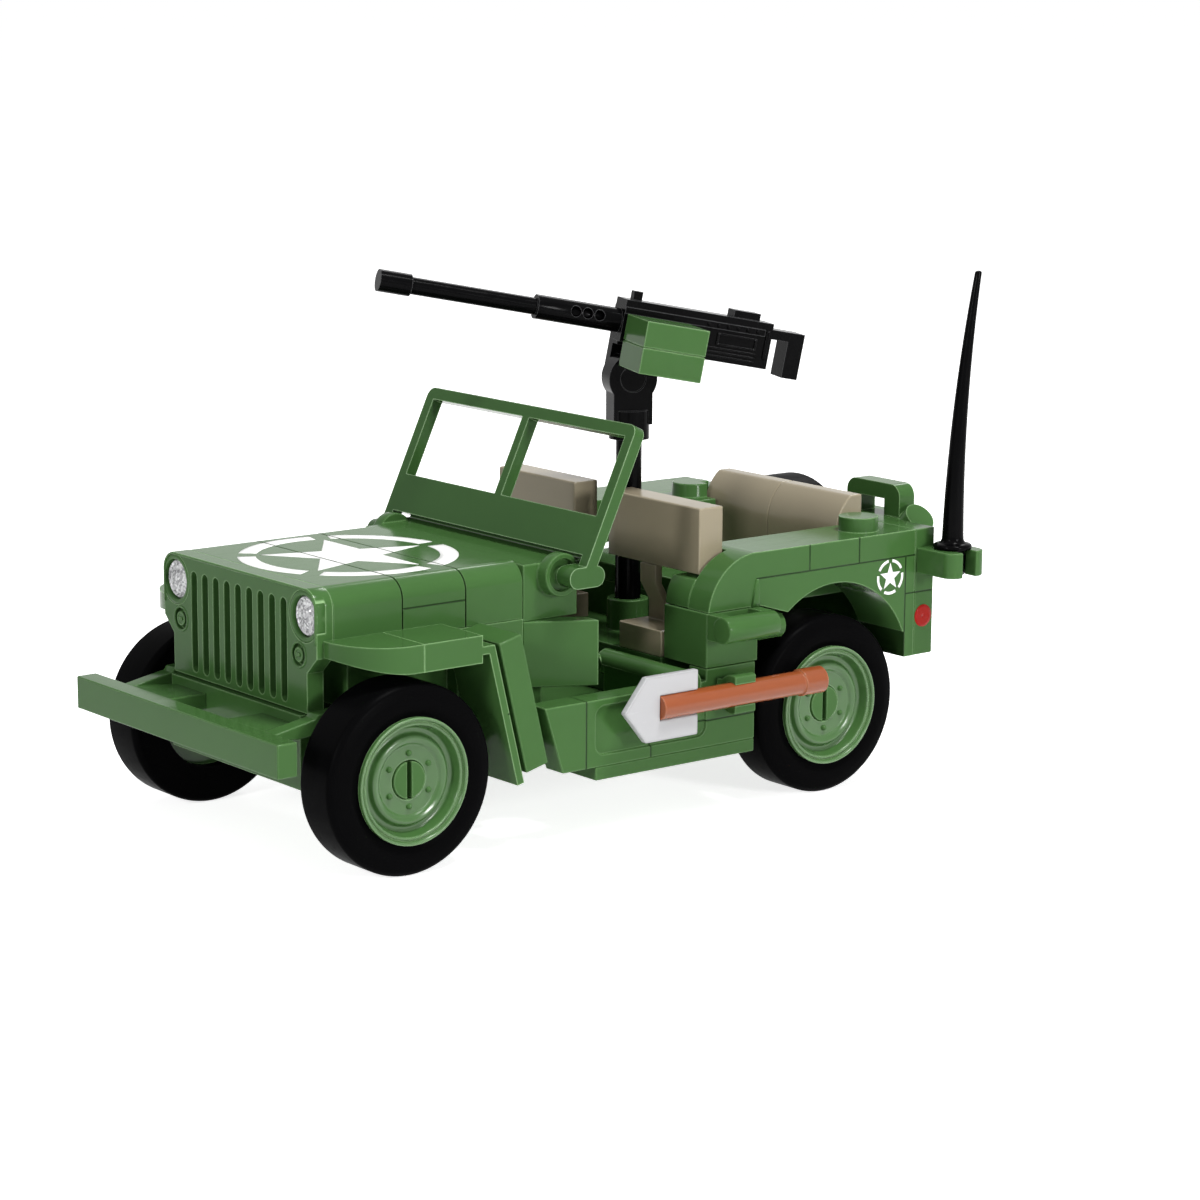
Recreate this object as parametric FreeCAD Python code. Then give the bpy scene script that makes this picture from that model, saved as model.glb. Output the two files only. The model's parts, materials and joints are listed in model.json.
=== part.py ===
import FreeCAD, Part
import math
import os

# A brick-built toy army car at its own size, in millimetres.
# While it is built the front axle is at y = 0 and the ground at z = 0.
# The car faces -Y, +X is its left side and +Z is up.
# The last lines move everything so that the origin is under the middle of the whole.

V = FreeCAD.Vector

# The toy system's own grid and clearances
pitch = 8.0
plate = 3.2
stud_r = 2.45
stud_h = 1.8
bar_r = 1.6
play = 0.3
run_gap = 0.05
reach = 1.0
body_half = 3 * pitch
hood_half = 2 * pitch

# Wheels
wheelbase = 62.0
tyre_r = 11.0
tyre_w = 6.2
tyre_shoulder = 0.8
sidewall_bulge = 0.35
rim_r = 7.3
rim_proud = 0.7
rim_out = 0.4
rim_short = 0.6
tyre_seat_r = 6.6
rim_bore_r = 2.2
hub_depth = 1.3
hub_r = 4.1
ring_depth = 1.0
ring_in_r = 4.4
ring_out_r = 4.9
dish_depth = 1.9
dish_in_r = 5.3
dish_out_r = 5.9
lip_step_depth = 0.5
lip_step_r = 6.2
lip_in_r = 6.8
axle_inset = 1.1
axle_slot_w = 0.6
axle_slot_depth = 1.6
axle_slot_h = 6.0
axle_z = tyre_r
rim_face_x = body_half + rim_out
tyre_face_x = rim_face_x - rim_proud

# Levels that follow the wheels: the fenders clear the tyres, the body follows the fenders
fender_clear = 1.1
deck_z = axle_z + tyre_r + fender_clear
fender_top = deck_z + plate
hood_bottom = fender_top - 0.9
hood_top = hood_bottom + 6.6
cowl_drop = 0.3
cowl_top = hood_top - cowl_drop
cowl_bottom = hood_bottom - 0.4
rear_low_z = deck_z + 1.6
rear_top = rear_low_z + 6.5
base_bottom = axle_z - 4.0
sill_bottom = axle_z - 2.4
sill_top = sill_bottom + pitch
floor_top = axle_z + 1.0
beam_bottom = axle_z - 2.0
beam_top = axle_z + 6.6

# Places along the car that follow the wheels
hood_front_y = -6.4
grille_proud = 0.9
grille_front_y = hood_front_y - grille_proud
fender_mid_y = 1.6
fender_end_y = fender_mid_y + pitch
guard_top_y = tyre_r + 0.9
hood_end_y = guard_top_y + 9.4
cowl_end_y = hood_end_y + pitch - 0.1
base_front_y = hood_end_y + 4.5
base_end_y = wheelbase - tyre_r - 1.0
rear_front_y = base_end_y - 7.4
rear_end_y = wheelbase + tyre_r + 3.0
post_y = base_end_y - 0.2
collar_r = 2.6
bed_front_y = post_y + collar_r + play
arch_y = wheelbase + 0.8

# Hood, cowl and grille front
hood_seam_y = 4.3
hood_seam2_y = 13.1
hood_round = 2.4
grille_t = 2.2
hood_start = grille_front_y + grille_t
grille_foot_half = 14.0
grille_bottom = axle_z + 6.8
grille_waist = fender_top - 3.9
grille_slant = 1.9
grille_corner = 2.2
slot_count = 9
slot_step = 2.35
slot_w = 1.25
slot_low = grille_bottom + 0.6
slot_high = hood_top - 1.7
lamp_x = 13.5
lamp_z = hood_top - 3.2
lamp_r = 2.6
lamp_ring = 0.35
lamp_seat = 1.2
lamp_dome = 0.4
lamp_ball_r = 9.0
side_lamp_x = 12.4
side_lamp_z = fender_top - 2.0
side_lamp_r = 1.35
side_lamp_depth = 0.6
side_lamp_boss_r = 0.75

# Bumper
bumper_half = 21.5
bumper_front_y = -16.2
bumper_t = 2.6
bumper_top = grille_bottom - 0.8
bumper_h = 3.9
bumper_arm_t = 1.9
bumper_arm_drop = 0.4
bumper_arm_in = 6.0
bumper_arm_wide = 15.4
bumper_arm_narrow = 12.4

# Front fenders, flaps and mudguards
fender_plan_y = 6.4
fender_front_t = 1.9
fender_sag = 0.25
guard_lean = 14.0
guard_top_z = deck_z + 1.9
guard_len = 16.0
flap_t = 0.95
flap_gap = 0.6
flap_extra = 0.9

# Base, side panels, chassis and cabin
cheek_low_z = sill_top + 0.6
cheek_t = 2.4
cheek_out_x = 20.2
sill_lead = 7.4
sill_slant = 2.6
sill_step_y = base_end_y - 7.6
sill_step_h = 1.4
recess_depth = 0.35
recess_low = 1.4
recess_top = 0.8
recess_round = 1.3
engine_half = 14.0
beam_half = 13.6
beam_front_y = grille_front_y - 0.7
step_t = 2.0

# Rear body
arch_gap = 1.3
arch_lift = 2.7
arch_foot_z = axle_z + 7.5
arch_foot_y = rear_end_y - 1.6
arch_front_y = arch_y - 7.6
arch_front_z = rear_low_z - 1.4
rear_wall_low = arch_foot_z - plate
bed_floor_t = 2.2
bed_floor = rear_low_z + 0.1
wall_inner = hood_half
tip_inner = 20.2
arm_plate_y = base_end_y - 3.1
arm_plate_low = arch_foot_z + 1.6
arm_block_x = 18.9
wall_stud_y = wheelbase + pitch
wall_stud_x = 2.5 * pitch
deck_stud_x = 1.5 * pitch

# Step bar inside the left door opening
step_bar_y = sill_step_y - 2.4
step_bar_z = sill_top - 0.1
step_bar_far_x = pitch
step_hook_r = 1.1

# Seats and bench
seat_back_w = 15.6
seat_back_h = pitch
seat_back_t = 3.7
seat_x = 1.5 * pitch
seat_back_y = base_end_y - 5.4
seat_back_z = fender_top + 2.1
seat_base_y = base_end_y - pitch
block_top = sill_top + 1.5
seat_base_top = block_top + plate
strap_x = 10.2
strap_w = 3.0
strap_t = 1.1
bench_left_x = 14.6
bench_seam_x = 1.7
bench_right_x = -10.8
bench_back_y = rear_end_y - 0.4
bench_top = rear_top + 3.2
bench_flat = 1.9
bench_bulge = 2.9
bench_bulge_drop = 2.6
bench_depth = 4.4

# Gun and its post
collar_top = block_top + 3.9
post_sink = 2.5
head_low_z = collar_top + 20.0
head_r = 2.5
head_h = 3.6
pivot_z = head_low_z + 7.5
head_neck_half = 2.5
fork_r = 3.1
fork_t = 3.2
fork_mouth = 1.1
gun_yaw = 21.0
gun_pitch = 10.7
gun_h = 6.7
muzzle_t = 33.5
muzzle_r = 1.35
muzzle_len = 4.0
barrel_r = 1.05
jacket_r = 1.5
jacket_t = 13.6
jacket_len = 11.5
jacket_hole_r = 0.65
jacket_hole_t = 8.75
jacket_hole_step = 1.53
jacket_hole_up = 0.3
hole_count = 3
receiver_half = 1.9
receiver_front = 2.8
receiver_back = 16.7
receiver_drop = 2.9
receiver_low = 2.4
receiver_high = 2.8
rib_out = 0.2
rib_low = 1.1
rib_high = 1.9
sight_front_y = 1.0
sight_w = 0.5
sight_l = 0.6
sight_h = 1.1
sight_rear_y = 11.5
sight_rear_l = 3.5
sight_rear_w = 1.2
sight_rear_h = 0.9
grip_back = 21.0
grip_bar_t = 2.1
grip_top_t = 1.2
grip_rise = 2.1
grip_drop = 3.6
lug_t = 1.5
lug_r = 2.4
lug_gap = 0.15
shelf_back = 6.0
shelf_t = 0.5
box_x = 2.1
box_rise = 1.4
box_front = 2.4
box_groove = 0.12
box_groove_depth = 0.15

# Windscreen
hinge_y = cowl_end_y - 3.3
hinge_z = cowl_top - 1.45
screen_lean = 25.0
screen_half = 20.5
screen_off = 1.25
screen_t = 1.5
screen_bar = 1.5
screen_post = 1.3
screen_low = 2.9
screen_panel = 7.7
screen_high = 19.1
screen_corner = 1.2
hinge_boss_r = 2.55
hinge_boss_t = 1.6
hinge_ring_r = 1.9
hinge_ring_depth = 0.5
hinge_pin_r = 0.8
hinge_arm_r = 1.25
hinge_arm_len = 2.6

# Spare wheel, can, aerial and spade
spare_x = -pitch
spare_z = rear_wall_low + 6.9
can_x = 10.9
can_w = 13.6
can_t = 5.6
can_h = 16.0
can_top = rear_top - 0.2
can_round = 1.6
can_handle_x0 = 6.3
can_handle_x1 = 16.0
can_handle_h = 4.1
can_handle_t = 2.6
can_grip_x0 = 8.8
can_grip_x1 = 13.2
can_grip_t = 2.0
can_cap_x = 16.6
can_cap_r = 2.0
can_cap_h = 2.6
can_cap_drop = 1.5
antenna_x = 27.1
antenna_y = rear_end_y + 3.3
clip_z = rear_low_z + 1.0
clip_r = antenna_x - body_half
clip_mouth = 1.1
antenna_top = clip_z + 37.3
antenna_lean = 3.2
antenna_steps = 4
antenna_collar_r = 2.4
antenna_collar_h = 0.9
antenna_base_r = 1.35
antenna_tip_r = 0.55
spade_x = body_half + 2.6
spade_z = axle_z + 4.2
spade_tip_y = base_front_y + 1.8
spade_shoulder = 3.2
spade_len = 11.0
spade_half = 3.9
spade_t = 0.9
spade_notch = 5.3
handle_r = 1.45
handle_len = 21.8
handle_grip_r = 1.65
handle_grip_len = 3.4
tool_clip_y = spade_tip_y + 16.4
tool_clip_w = 3.2


def box(x0, x1, y0, y1, z0, z1):
    """A block between two corners, given in any order along each axis."""
    low = V(min(x0, x1), min(y0, y1), min(z0, z1))
    return Part.makeBox(abs(x1 - x0), abs(y1 - y0), abs(z1 - z0), low)


def rod(start, direction, radius, length):
    """A cylinder from a point along a direction."""
    return Part.makeCylinder(radius, length, V(*start), V(*direction))


def prism(points, direction):
    """A closed outline of points pushed along a direction."""
    loop = [V(*p) for p in points]
    wire = Part.makePolygon(loop + [loop[0]])
    return Part.Face(wire).extrude(V(*direction))


def side_prism(outline, x0, x1):
    """An outline in y and z pushed across from x0 to x1."""
    return prism([(x0, y, z) for y, z in outline], (x1 - x0, 0, 0))


def soften(shape, radius, test):
    """Round the edges that pass a test of their middle point and direction."""
    chosen = []
    for e in shape.Edges:
        a = e.Vertexes[0].Point
        b = e.Vertexes[-1].Point
        if test((a + b) * 0.5, b - a):
            chosen.append(e)
    return shape.makeFillet(radius, chosen) if chosen else shape


def join(shapes):
    """One solid out of overlapping or touching ones."""
    whole = shapes[0]
    for more in shapes[1:]:
        whole = whole.fuse(more)
    return whole.removeSplitter()


def mirror(shape):
    """The same piece on the other side of the car."""
    return shape.mirror(V(0, 0, 0), V(1, 0, 0))


def stud(x, y, z):
    return Part.makeCylinder(stud_r, stud_h, V(x, y, z))


pieces = {}


def tyre_solid():
    """A plain tyre around the x axis, its outer face at x = 0 and its body towards -x."""
    s = tyre_shoulder
    outer = tyre_r
    w = tyre_w
    middle = (rim_r + outer) / 2
    side = [V(0, 0, tyre_seat_r), V(0, 0, rim_r + run_gap)]
    shoulder = V(0, 0, outer - s)
    bulge = Part.Arc(side[1], V(sidewall_bulge, 0, middle), shoulder).toShape()
    turn = s * (1 - math.sqrt(0.5))
    front = Part.Arc(shoulder, V(-turn, 0, outer - turn), V(-s, 0, outer)).toShape()
    flat = Part.makePolygon([V(-s, 0, outer), V(-w + s, 0, outer)])
    rear = Part.Arc(V(-w + s, 0, outer), V(-w + turn, 0, outer - turn), V(-w, 0, outer - s)).toShape()
    back = Part.makePolygon([V(-w, 0, outer - s), V(-w, 0, tyre_seat_r), side[0]])
    edges = Part.makePolygon(side).Edges + [bulge, front] + flat.Edges + [rear] + back.Edges
    return Part.Face(Part.Wire(edges)).revolve(V(0, 0, 0), V(1, 0, 0), 360)


def rim_solid():
    """A stepped rim around the x axis, its face at x = 0, with the axle bore."""
    depth = tyre_w - rim_short
    outline = [
        (0.0, rim_r), (-rim_proud, rim_r), (-rim_proud, tyre_seat_r), (-depth, tyre_seat_r),
        (-depth, rim_bore_r), (-hub_depth, rim_bore_r), (-hub_depth, hub_r),
        (-ring_depth, ring_in_r), (-ring_depth, ring_out_r), (-dish_depth, dish_in_r),
        (-dish_depth, dish_out_r), (-lip_step_depth, lip_step_r), (0.0, lip_in_r)]
    wire = Part.makePolygon([V(x, 0, r) for x, r in outline + outline[:1]])
    return Part.Face(wire).revolve(V(0, 0, 0), V(1, 0, 0), 360)


def place_wheel(name, side, y):
    """A tyre and rim on the left (side 1) or right (side -1)."""
    tyre = tyre_solid()
    tyre.translate(V(tyre_face_x, y, axle_z))
    rim = rim_solid()
    rim.translate(V(rim_face_x, y, axle_z))
    if side < 0:
        tyre = mirror(tyre)
        rim = mirror(rim)
    pieces[name + " tyre"] = tyre
    pieces[name + " rim"] = rim


def axle(y):
    """An axle whose slotted ends show in the hubs."""
    half = rim_face_x - axle_inset
    pin = rod((-half, y, axle_z), (1, 0, 0), rim_bore_r - run_gap, 2 * half)
    w = axle_slot_w / 2
    h = axle_slot_h / 2
    for end in (-half, half):
        slot = box(end - axle_slot_depth, end + axle_slot_depth, y - w, y + w, axle_z - h, axle_z + h)
        pin = pin.cut(slot)
    return pin


def chassis():
    """The two centre beams that carry the axles, with the blocks that rise from them."""
    front = box(-beam_half, beam_half, beam_front_y, base_front_y, beam_bottom, beam_top)
    nose = box(-engine_half, engine_half, hood_start + plate, guard_top_y, beam_top, hood_bottom)
    wall = box(-hood_half, hood_half, guard_top_y, hood_end_y, beam_bottom, hood_bottom)
    rear = box(-beam_half, beam_half, base_end_y, arch_foot_y, beam_bottom, beam_top)
    step = box(-engine_half, engine_half, bed_front_y, bed_front_y + step_t, beam_top,
               bed_floor - bed_floor_t)
    out = []
    for block, y in ((join([front, nose, wall]), 0.0), (join([rear, step]), wheelbase)):
        length = 2 * (beam_half + reach)
        bore = rod((-length / 2, y, axle_z), (1, 0, 0), rim_bore_r - run_gap, length)
        out.append(block.cut(bore).removeSplitter())
    return out


# Wheels and axles
for name, side, y in (("front left", 1, 0.0), ("front right", -1, 0.0),
                      ("rear left", 1, wheelbase), ("rear right", -1, wheelbase)):
    place_wheel(name, side, y)
pieces["front axle"] = axle(0.0)
pieces["rear axle"] = axle(wheelbase)
pieces["front chassis beam"], pieces["rear chassis beam"] = chassis()


def base_plate():
    """The belly plate with a raised middle between the side panels."""
    low = box(-body_half, body_half, base_front_y, base_end_y, base_bottom, sill_bottom)
    inner = body_half - plate
    high = box(-inner, inner, base_front_y, base_end_y, sill_bottom, floor_top)
    return join([low, high])


def sill():
    """A side panel with a slanted front end, a raised rear part and a shallow tool recess."""
    x0 = body_half - plate
    front = base_front_y - sill_lead
    high = sill_top + sill_step_h
    outline = [(front, sill_top), (sill_step_y, sill_top), (sill_step_y, high),
               (base_end_y, high), (base_end_y, sill_bottom), (front + sill_slant, sill_bottom)]
    panel = side_prism(outline, x0, body_half)
    recess = box(body_half - recess_depth, body_half + reach, base_front_y, sill_step_y,
                 sill_bottom + recess_low, sill_top - recess_top)
    recess = soften(recess, recess_round, lambda m, d: abs(d.x) > recess_depth)
    return panel.cut(recess)


pieces["base plate"] = base_plate()
pieces["left sill"] = sill()
pieces["right sill"] = mirror(pieces["left sill"])


def grille():
    """The pressed front with upright slots, round lamp seats and small side lamps."""
    y0 = grille_front_y
    g = hood_half
    f = grille_foot_half
    ear = grille_waist + grille_slant
    outline = [(-g, hood_top), (g, hood_top), (g, ear), (f, grille_waist),
               (f, grille_bottom), (-f, grille_bottom), (-f, grille_waist), (-g, ear)]
    panel = prism([(x, y0, z) for x, z in outline], (0, grille_t, 0))
    panel = soften(panel, grille_corner,
                   lambda m, d: abs(d.y) > grille_t / 2 and m.z > hood_top - run_gap)
    r = slot_w / 2
    through = grille_t + 2 * reach
    for i in range(slot_count):
        x = (i - (slot_count - 1) / 2) * slot_step
        cut = [box(x - r, x + r, y0 - reach, y0 - reach + through, slot_low + r, slot_high - r)]
        for z in (slot_low + r, slot_high - r):
            cut.append(rod((x, y0 - reach, z), (0, 1, 0), r, through))
        panel = panel.cut(join(cut))
    for side in (-1, 1):
        x = side * lamp_x
        panel = panel.cut(rod((x, y0 - reach, lamp_z), (0, 1, 0), lamp_r + lamp_ring, reach + lamp_seat))
        x = side * side_lamp_x
        panel = panel.cut(rod((x, y0 - reach, side_lamp_z), (0, 1, 0), side_lamp_r, reach + side_lamp_depth))
        panel = panel.fuse(rod((x, y0, side_lamp_z), (0, 1, 0), side_lamp_boss_r, side_lamp_depth))
    return panel.removeSplitter()


def lamp(side):
    """A clear round lens with a slightly domed face."""
    back_y = grille_front_y + lamp_seat
    front_y = grille_front_y - lamp_dome
    ball = Part.makeSphere(lamp_ball_r, V(side * lamp_x, front_y + lamp_ball_r, lamp_z))
    return rod((side * lamp_x, front_y, lamp_z), (0, 1, 0), lamp_r, back_y - front_y).common(ball)


pieces["grille front"] = grille()
pieces["left headlamp lens"] = lamp(1)
pieces["right headlamp lens"] = lamp(-1)


def hood_piece(y0, y1):
    """A length of hood with rounded upper edges."""
    block = box(-hood_half, hood_half, y0, y1, hood_bottom, hood_top)
    return soften(block, hood_round,
                  lambda m, d: abs(d.y) > (y1 - y0) / 2 and m.z > hood_top - run_gap)


def cowl():
    """The raised block behind the hood with a round hinge boss and pin on each side."""
    parts = [box(-hood_half, hood_half, hood_end_y, cowl_end_y, cowl_bottom, cowl_top)]
    for side in (-1, 1):
        boss = rod((side * hood_half, hinge_y, hinge_z), (side, 0, 0), hinge_boss_r, hinge_boss_t)
        ring_x = side * (hood_half + hinge_boss_t - hinge_ring_depth)
        boss = boss.cut(rod((ring_x, hinge_y, hinge_z), (side, 0, 0), hinge_ring_r, reach))
        pin = rod((ring_x, hinge_y, hinge_z), (side, 0, 0), hinge_pin_r,
                  hinge_ring_depth + play + hinge_boss_t)
        parts += [boss, pin]
    return join(parts)


def cowl_cheek():
    """The slanted side panel under the cowl, wider at the rear."""
    inner = hood_half - cheek_t
    outline = [(inner, hood_end_y), (hood_half, hood_end_y), (cheek_out_x, cowl_end_y),
               (cheek_out_x - cheek_t, cowl_end_y), (inner, hood_end_y + cheek_t)]
    panel = prism([(x, y, cheek_low_z) for x, y in outline], (0, 0, cowl_bottom - cheek_low_z))
    return panel


pieces["hood front"] = hood_piece(hood_start, hood_seam_y)
pieces["hood middle"] = hood_piece(hood_seam_y, hood_seam2_y)
pieces["hood rear"] = hood_piece(hood_seam2_y, hood_end_y)
pieces["cowl"] = cowl()
pieces["left cowl cheek"] = cowl_cheek()


def fender_front():
    """The front end of a fender: rounded in plan, its underside rising to the front."""
    y0 = hood_front_y
    tip = V(hood_half, y0, fender_top - fender_front_t)
    middle = V(hood_half, (y0 + fender_mid_y) / 2, deck_z + fender_sag)
    rear = V(hood_half, fender_mid_y, deck_z)
    under = Part.Arc(tip, middle, rear).toShape()
    over = Part.makePolygon([rear, V(hood_half, fender_mid_y, fender_top),
                             V(hood_half, y0, fender_top), tip])
    body = Part.Face(Part.Wire([under] + over.Edges)).extrude(V(pitch, 0, 0))
    centre_y = y0 + fender_plan_y
    ellipse = Part.Ellipse(V(hood_half, centre_y, deck_z), pitch, fender_plan_y)
    arc = Part.ArcOfEllipse(ellipse, -math.pi / 2, 0).toShape()
    rest = Part.makePolygon([V(body_half, centre_y, deck_z), V(body_half, fender_mid_y, deck_z),
                             V(hood_half, fender_mid_y, deck_z), V(hood_half, y0, deck_z)])
    plan = Part.Face(Part.Wire([arc] + rest.Edges)).extrude(V(0, 0, plate))
    return body.common(plan)


def leaning(offset, thick, z_from, z_to):
    """A leaning slab behind the front wheel, measured along and across its lean."""
    a = math.radians(guard_lean)
    along = V(0, math.sin(a), -math.cos(a))
    across = V(0, math.cos(a), math.sin(a))
    start = V(hood_half, guard_top_y, guard_top_z)
    corners = []
    for s, w in ((z_from, offset), (z_to, offset), (z_to, offset + thick), (z_from, offset + thick)):
        corners.append(start + along * s + across * w)
    return prism([tuple(c) for c in corners], (pitch, 0, 0))


def fender_flap():
    """The rear half of a fender with the thin flap that hangs down behind the wheel."""
    top = box(hood_half, body_half, fender_mid_y, fender_end_y, deck_z, fender_top)
    flap = leaning(-flap_gap - flap_t, flap_t, 0, guard_len + flap_extra)
    bridge = box(hood_half, body_half, fender_end_y - flap_t, guard_top_y - flap_gap,
                 guard_top_z - flap_t, guard_top_z)
    return join([top, flap, bridge])


pieces["left front fender"] = fender_front()
pieces["left fender flap"] = fender_flap()
pieces["left mudguard"] = leaning(0, plate, 0, guard_len)
for part in ("cowl cheek", "front fender", "fender flap", "mudguard"):
    pieces["right " + part] = mirror(pieces["left " + part])


def bumper():
    """A slim bumper bar on two tapering arms."""
    y0 = bumper_front_y + bumper_t
    parts = [box(-bumper_half, bumper_half, bumper_front_y, y0, bumper_top - bumper_h, bumper_top)]
    arm_z = bumper_top - bumper_arm_t - bumper_arm_drop
    for side in (-1, 1):
        corners = [(side * bumper_arm_in, y0), (side * bumper_arm_wide, y0),
                   (side * bumper_arm_narrow, beam_front_y), (side * bumper_arm_in, beam_front_y)]
        parts.append(prism([(x, y, arm_z) for x, y in corners], (0, 0, bumper_arm_t)))
    return join(parts)


pieces["bumper"] = bumper()


def rear_side():
    """A side of the load bed: a curved front end, a level top and a wheel arch."""
    curve_y = rear_front_y + pitch
    rise = rear_top - rear_low_z
    c = math.sqrt(0.5)
    front = V(wall_inner, rear_front_y, rear_low_z)
    mid = V(wall_inner, curve_y - pitch * c, rear_low_z + rise * c)
    peak = V(wall_inner, curve_y, rear_top)
    arc = Part.Arc(front, mid, peak).toShape()
    rest = Part.makePolygon([peak, V(wall_inner, rear_end_y, rear_top),
                             V(wall_inner, rear_end_y, rear_wall_low),
                             V(wall_inner, arch_foot_y, rear_wall_low),
                             V(wall_inner, arch_foot_y, arch_foot_z),
                             V(wall_inner, arch_front_y, arch_front_z),
                             V(wall_inner, curve_y, rear_low_z), front])
    face = Part.Face(Part.Wire([arc] + rest.Edges))
    side = face.extrude(V(pitch, 0, 0))
    arch = rod((wall_inner - reach, arch_y, axle_z + arch_lift), (1, 0, 0), tyre_r + arch_gap,
               pitch + 2 * reach)
    relief = box(wall_inner - reach, tip_inner, rear_front_y - reach, seat_back_y + seat_back_t + play,
                 rear_low_z - reach, rear_top + reach)
    side = side.cut(arch).cut(relief)
    foot = box(wall_inner, body_half, arch_foot_y, rear_end_y, rear_wall_low, arch_foot_z)
    return join([side, foot])


def arm_plate():
    """The round-edged plate beside the seats, with the block under it."""
    low = arm_plate_low
    edge_x = body_half - bar_r
    end = arm_plate_y + pitch
    slab = box(wall_inner, edge_x, arm_plate_y, end, low, low + plate)
    nose = rod((edge_x, arm_plate_y, low + bar_r), (0, 1, 0), bar_r, pitch)
    block = box(wall_inner, arm_block_x, arm_plate_y, base_end_y, floor_top, low)
    return join([slab, nose, block])


pieces["left rear side"] = join([rear_side(), stud(wall_stud_x, wall_stud_y, rear_top)])
pieces["right rear side"] = mirror(rear_side())
pieces["left arm plate"] = arm_plate()
pieces["right arm plate"] = mirror(pieces["left arm plate"])
pieces["bed floor"] = box(-wall_inner, wall_inner, bed_front_y, rear_end_y,
                          bed_floor - bed_floor_t, bed_floor)


def deck_brick():
    """A brick with one stud in the rear right corner of the bed, cut away beside the bench."""
    half = pitch / 2
    brick = join([box(-wall_inner, -pitch, wall_stud_y - half, wall_stud_y + half, bed_floor, rear_top),
                  stud(-deck_stud_x, wall_stud_y, rear_top)])
    return brick.cut(box(bench_right_x - play, 0, bench_back_y - bench_depth - play, rear_end_y,
                         bed_floor - reach, rear_top + pitch))


pieces["deck brick"] = deck_brick()


def step_bar():
    """A bar across the left door opening with a hooked inner end."""
    bar = rod((step_bar_far_x, step_bar_y, step_bar_z), (1, 0, 0), bar_r, body_half - step_bar_far_x)
    foot = box(step_bar_far_x + bar_r, body_half - plate, step_bar_y - bar_r, step_bar_y + bar_r,
               floor_top, step_bar_z)
    hook = rod((step_bar_far_x, step_bar_y - bar_r, step_bar_z), (0, 1, 0), step_hook_r, 2 * bar_r)
    return join([bar, foot, hook])


pieces["left step bar"] = step_bar()
pieces["left sill"] = pieces["left sill"].cut(
    rod((0, step_bar_y, step_bar_z), (1, 0, 0), bar_r, 2 * body_half))


def seat(side):
    """A seat back and the base that carries it on a bent strap."""
    x = side * seat_x
    w = seat_back_w / 2
    back = box(x - w, x + w, seat_back_y, seat_back_y + seat_back_t,
               seat_back_z, seat_back_z + seat_back_h)
    base = box(x - pitch / 2, x + pitch / 2, seat_base_y, base_end_y, block_top, seat_base_top)
    y0 = seat_base_y + pitch / 2
    y1 = seat_back_y
    z0 = seat_base_top
    z1 = seat_back_z
    third = (z1 - z0) / 3
    t = strap_t
    outline = [(y0, z0), (y0, z0 + third), (y1, z0 + 2 * third), (y1, z1),
               (y1 + t, z1), (y1 + t, z0 + 2 * third), (y0 + t, z0 + third), (y0 + t, z0)]
    strap = side_prism(outline, side * strap_x - strap_w / 2, side * strap_x + strap_w / 2)
    return back, join([base, strap])


for name, side in (("left", 1), ("right", -1)):
    back, base = seat(side)
    pieces[name + " seat back"] = back
    pieces[name + " seat base"] = base


def bench(x0, x1):
    """A length of the rear backrest, flat behind and curved in front."""
    y1 = bench_back_y
    top = V(x0, y1 - bench_flat, bench_top)
    mid = V(x0, y1 - bench_flat - bench_bulge * math.sqrt(0.5), bench_top - bench_bulge_drop)
    foot = V(x0, y1 - bench_depth, bench_top - 2 * bench_bulge_drop)
    arc = Part.Arc(top, mid, foot).toShape()
    rest = Part.makePolygon([foot, V(x0, y1 - bench_depth, bed_floor), V(x0, y1, bed_floor),
                             V(x0, y1, bench_top), top])
    return Part.Face(Part.Wire([arc] + rest.Edges)).extrude(V(x1 - x0, 0, 0))


pieces["bench left part"] = bench(bench_seam_x, bench_left_x)
pieces["bench right part"] = bench(bench_right_x, bench_seam_x)


def seat_block():
    """The block across the cabin that carries the seats and holds the gun post in a collar."""
    low = box(-wall_inner, wall_inner, seat_base_y, base_end_y, floor_top, block_top)
    high = box(-wall_inner, wall_inner, base_end_y, bed_front_y, beam_top, block_top)
    collar = rod((0, post_y, block_top), (0, 0, 1), collar_r, collar_top - block_top)
    bore = rod((0, post_y, collar_top - post_sink), (0, 0, 1), bar_r, post_sink + reach)
    return join([low, high, collar]).cut(bore)


pieces["seat block"] = seat_block()
pieces["gun post"] = rod((0, post_y, collar_top - post_sink), (0, 0, 1), bar_r,
                         head_low_z + head_h / 2 - collar_top + post_sink)


def aim(shape, pitch_too):
    """Turn a gun piece built along -Y at the pivot height into its pose."""
    if pitch_too:
        shape.rotate(V(0, post_y, pivot_z), V(1, 0, 0), -gun_pitch)
    shape.rotate(V(0, post_y, pivot_z), V(0, 0, 1), -gun_yaw)
    return shape


def gun_head():
    """The turning head: a sleeve on the post and a forked disc round the gun's cross pin."""
    z0 = head_low_z
    half = fork_t / 2
    wide = fork_r + reach
    sleeve = rod((0, post_y, z0), (0, 0, 1), head_r, head_h)
    neck = box(-half, half, post_y - head_neck_half, post_y + head_neck_half,
               z0 + head_h / 2, pivot_z - bar_r)
    disc = rod((-half, post_y, pivot_z), (1, 0, 0), fork_r, fork_t)
    body = join([sleeve, neck, disc])
    body = body.cut(rod((0, post_y, z0 - reach), (0, 0, 1), bar_r + run_gap,
                        head_h / 2 + play + reach))
    body = body.cut(rod((-wide, post_y, pivot_z), (1, 0, 0), bar_r + run_gap, 2 * wide))
    mouth = box(-wide, wide, post_y - fork_mouth, post_y + fork_mouth, pivot_z, pivot_z + wide)
    return aim(body.cut(mouth).removeSplitter(), False)


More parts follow.
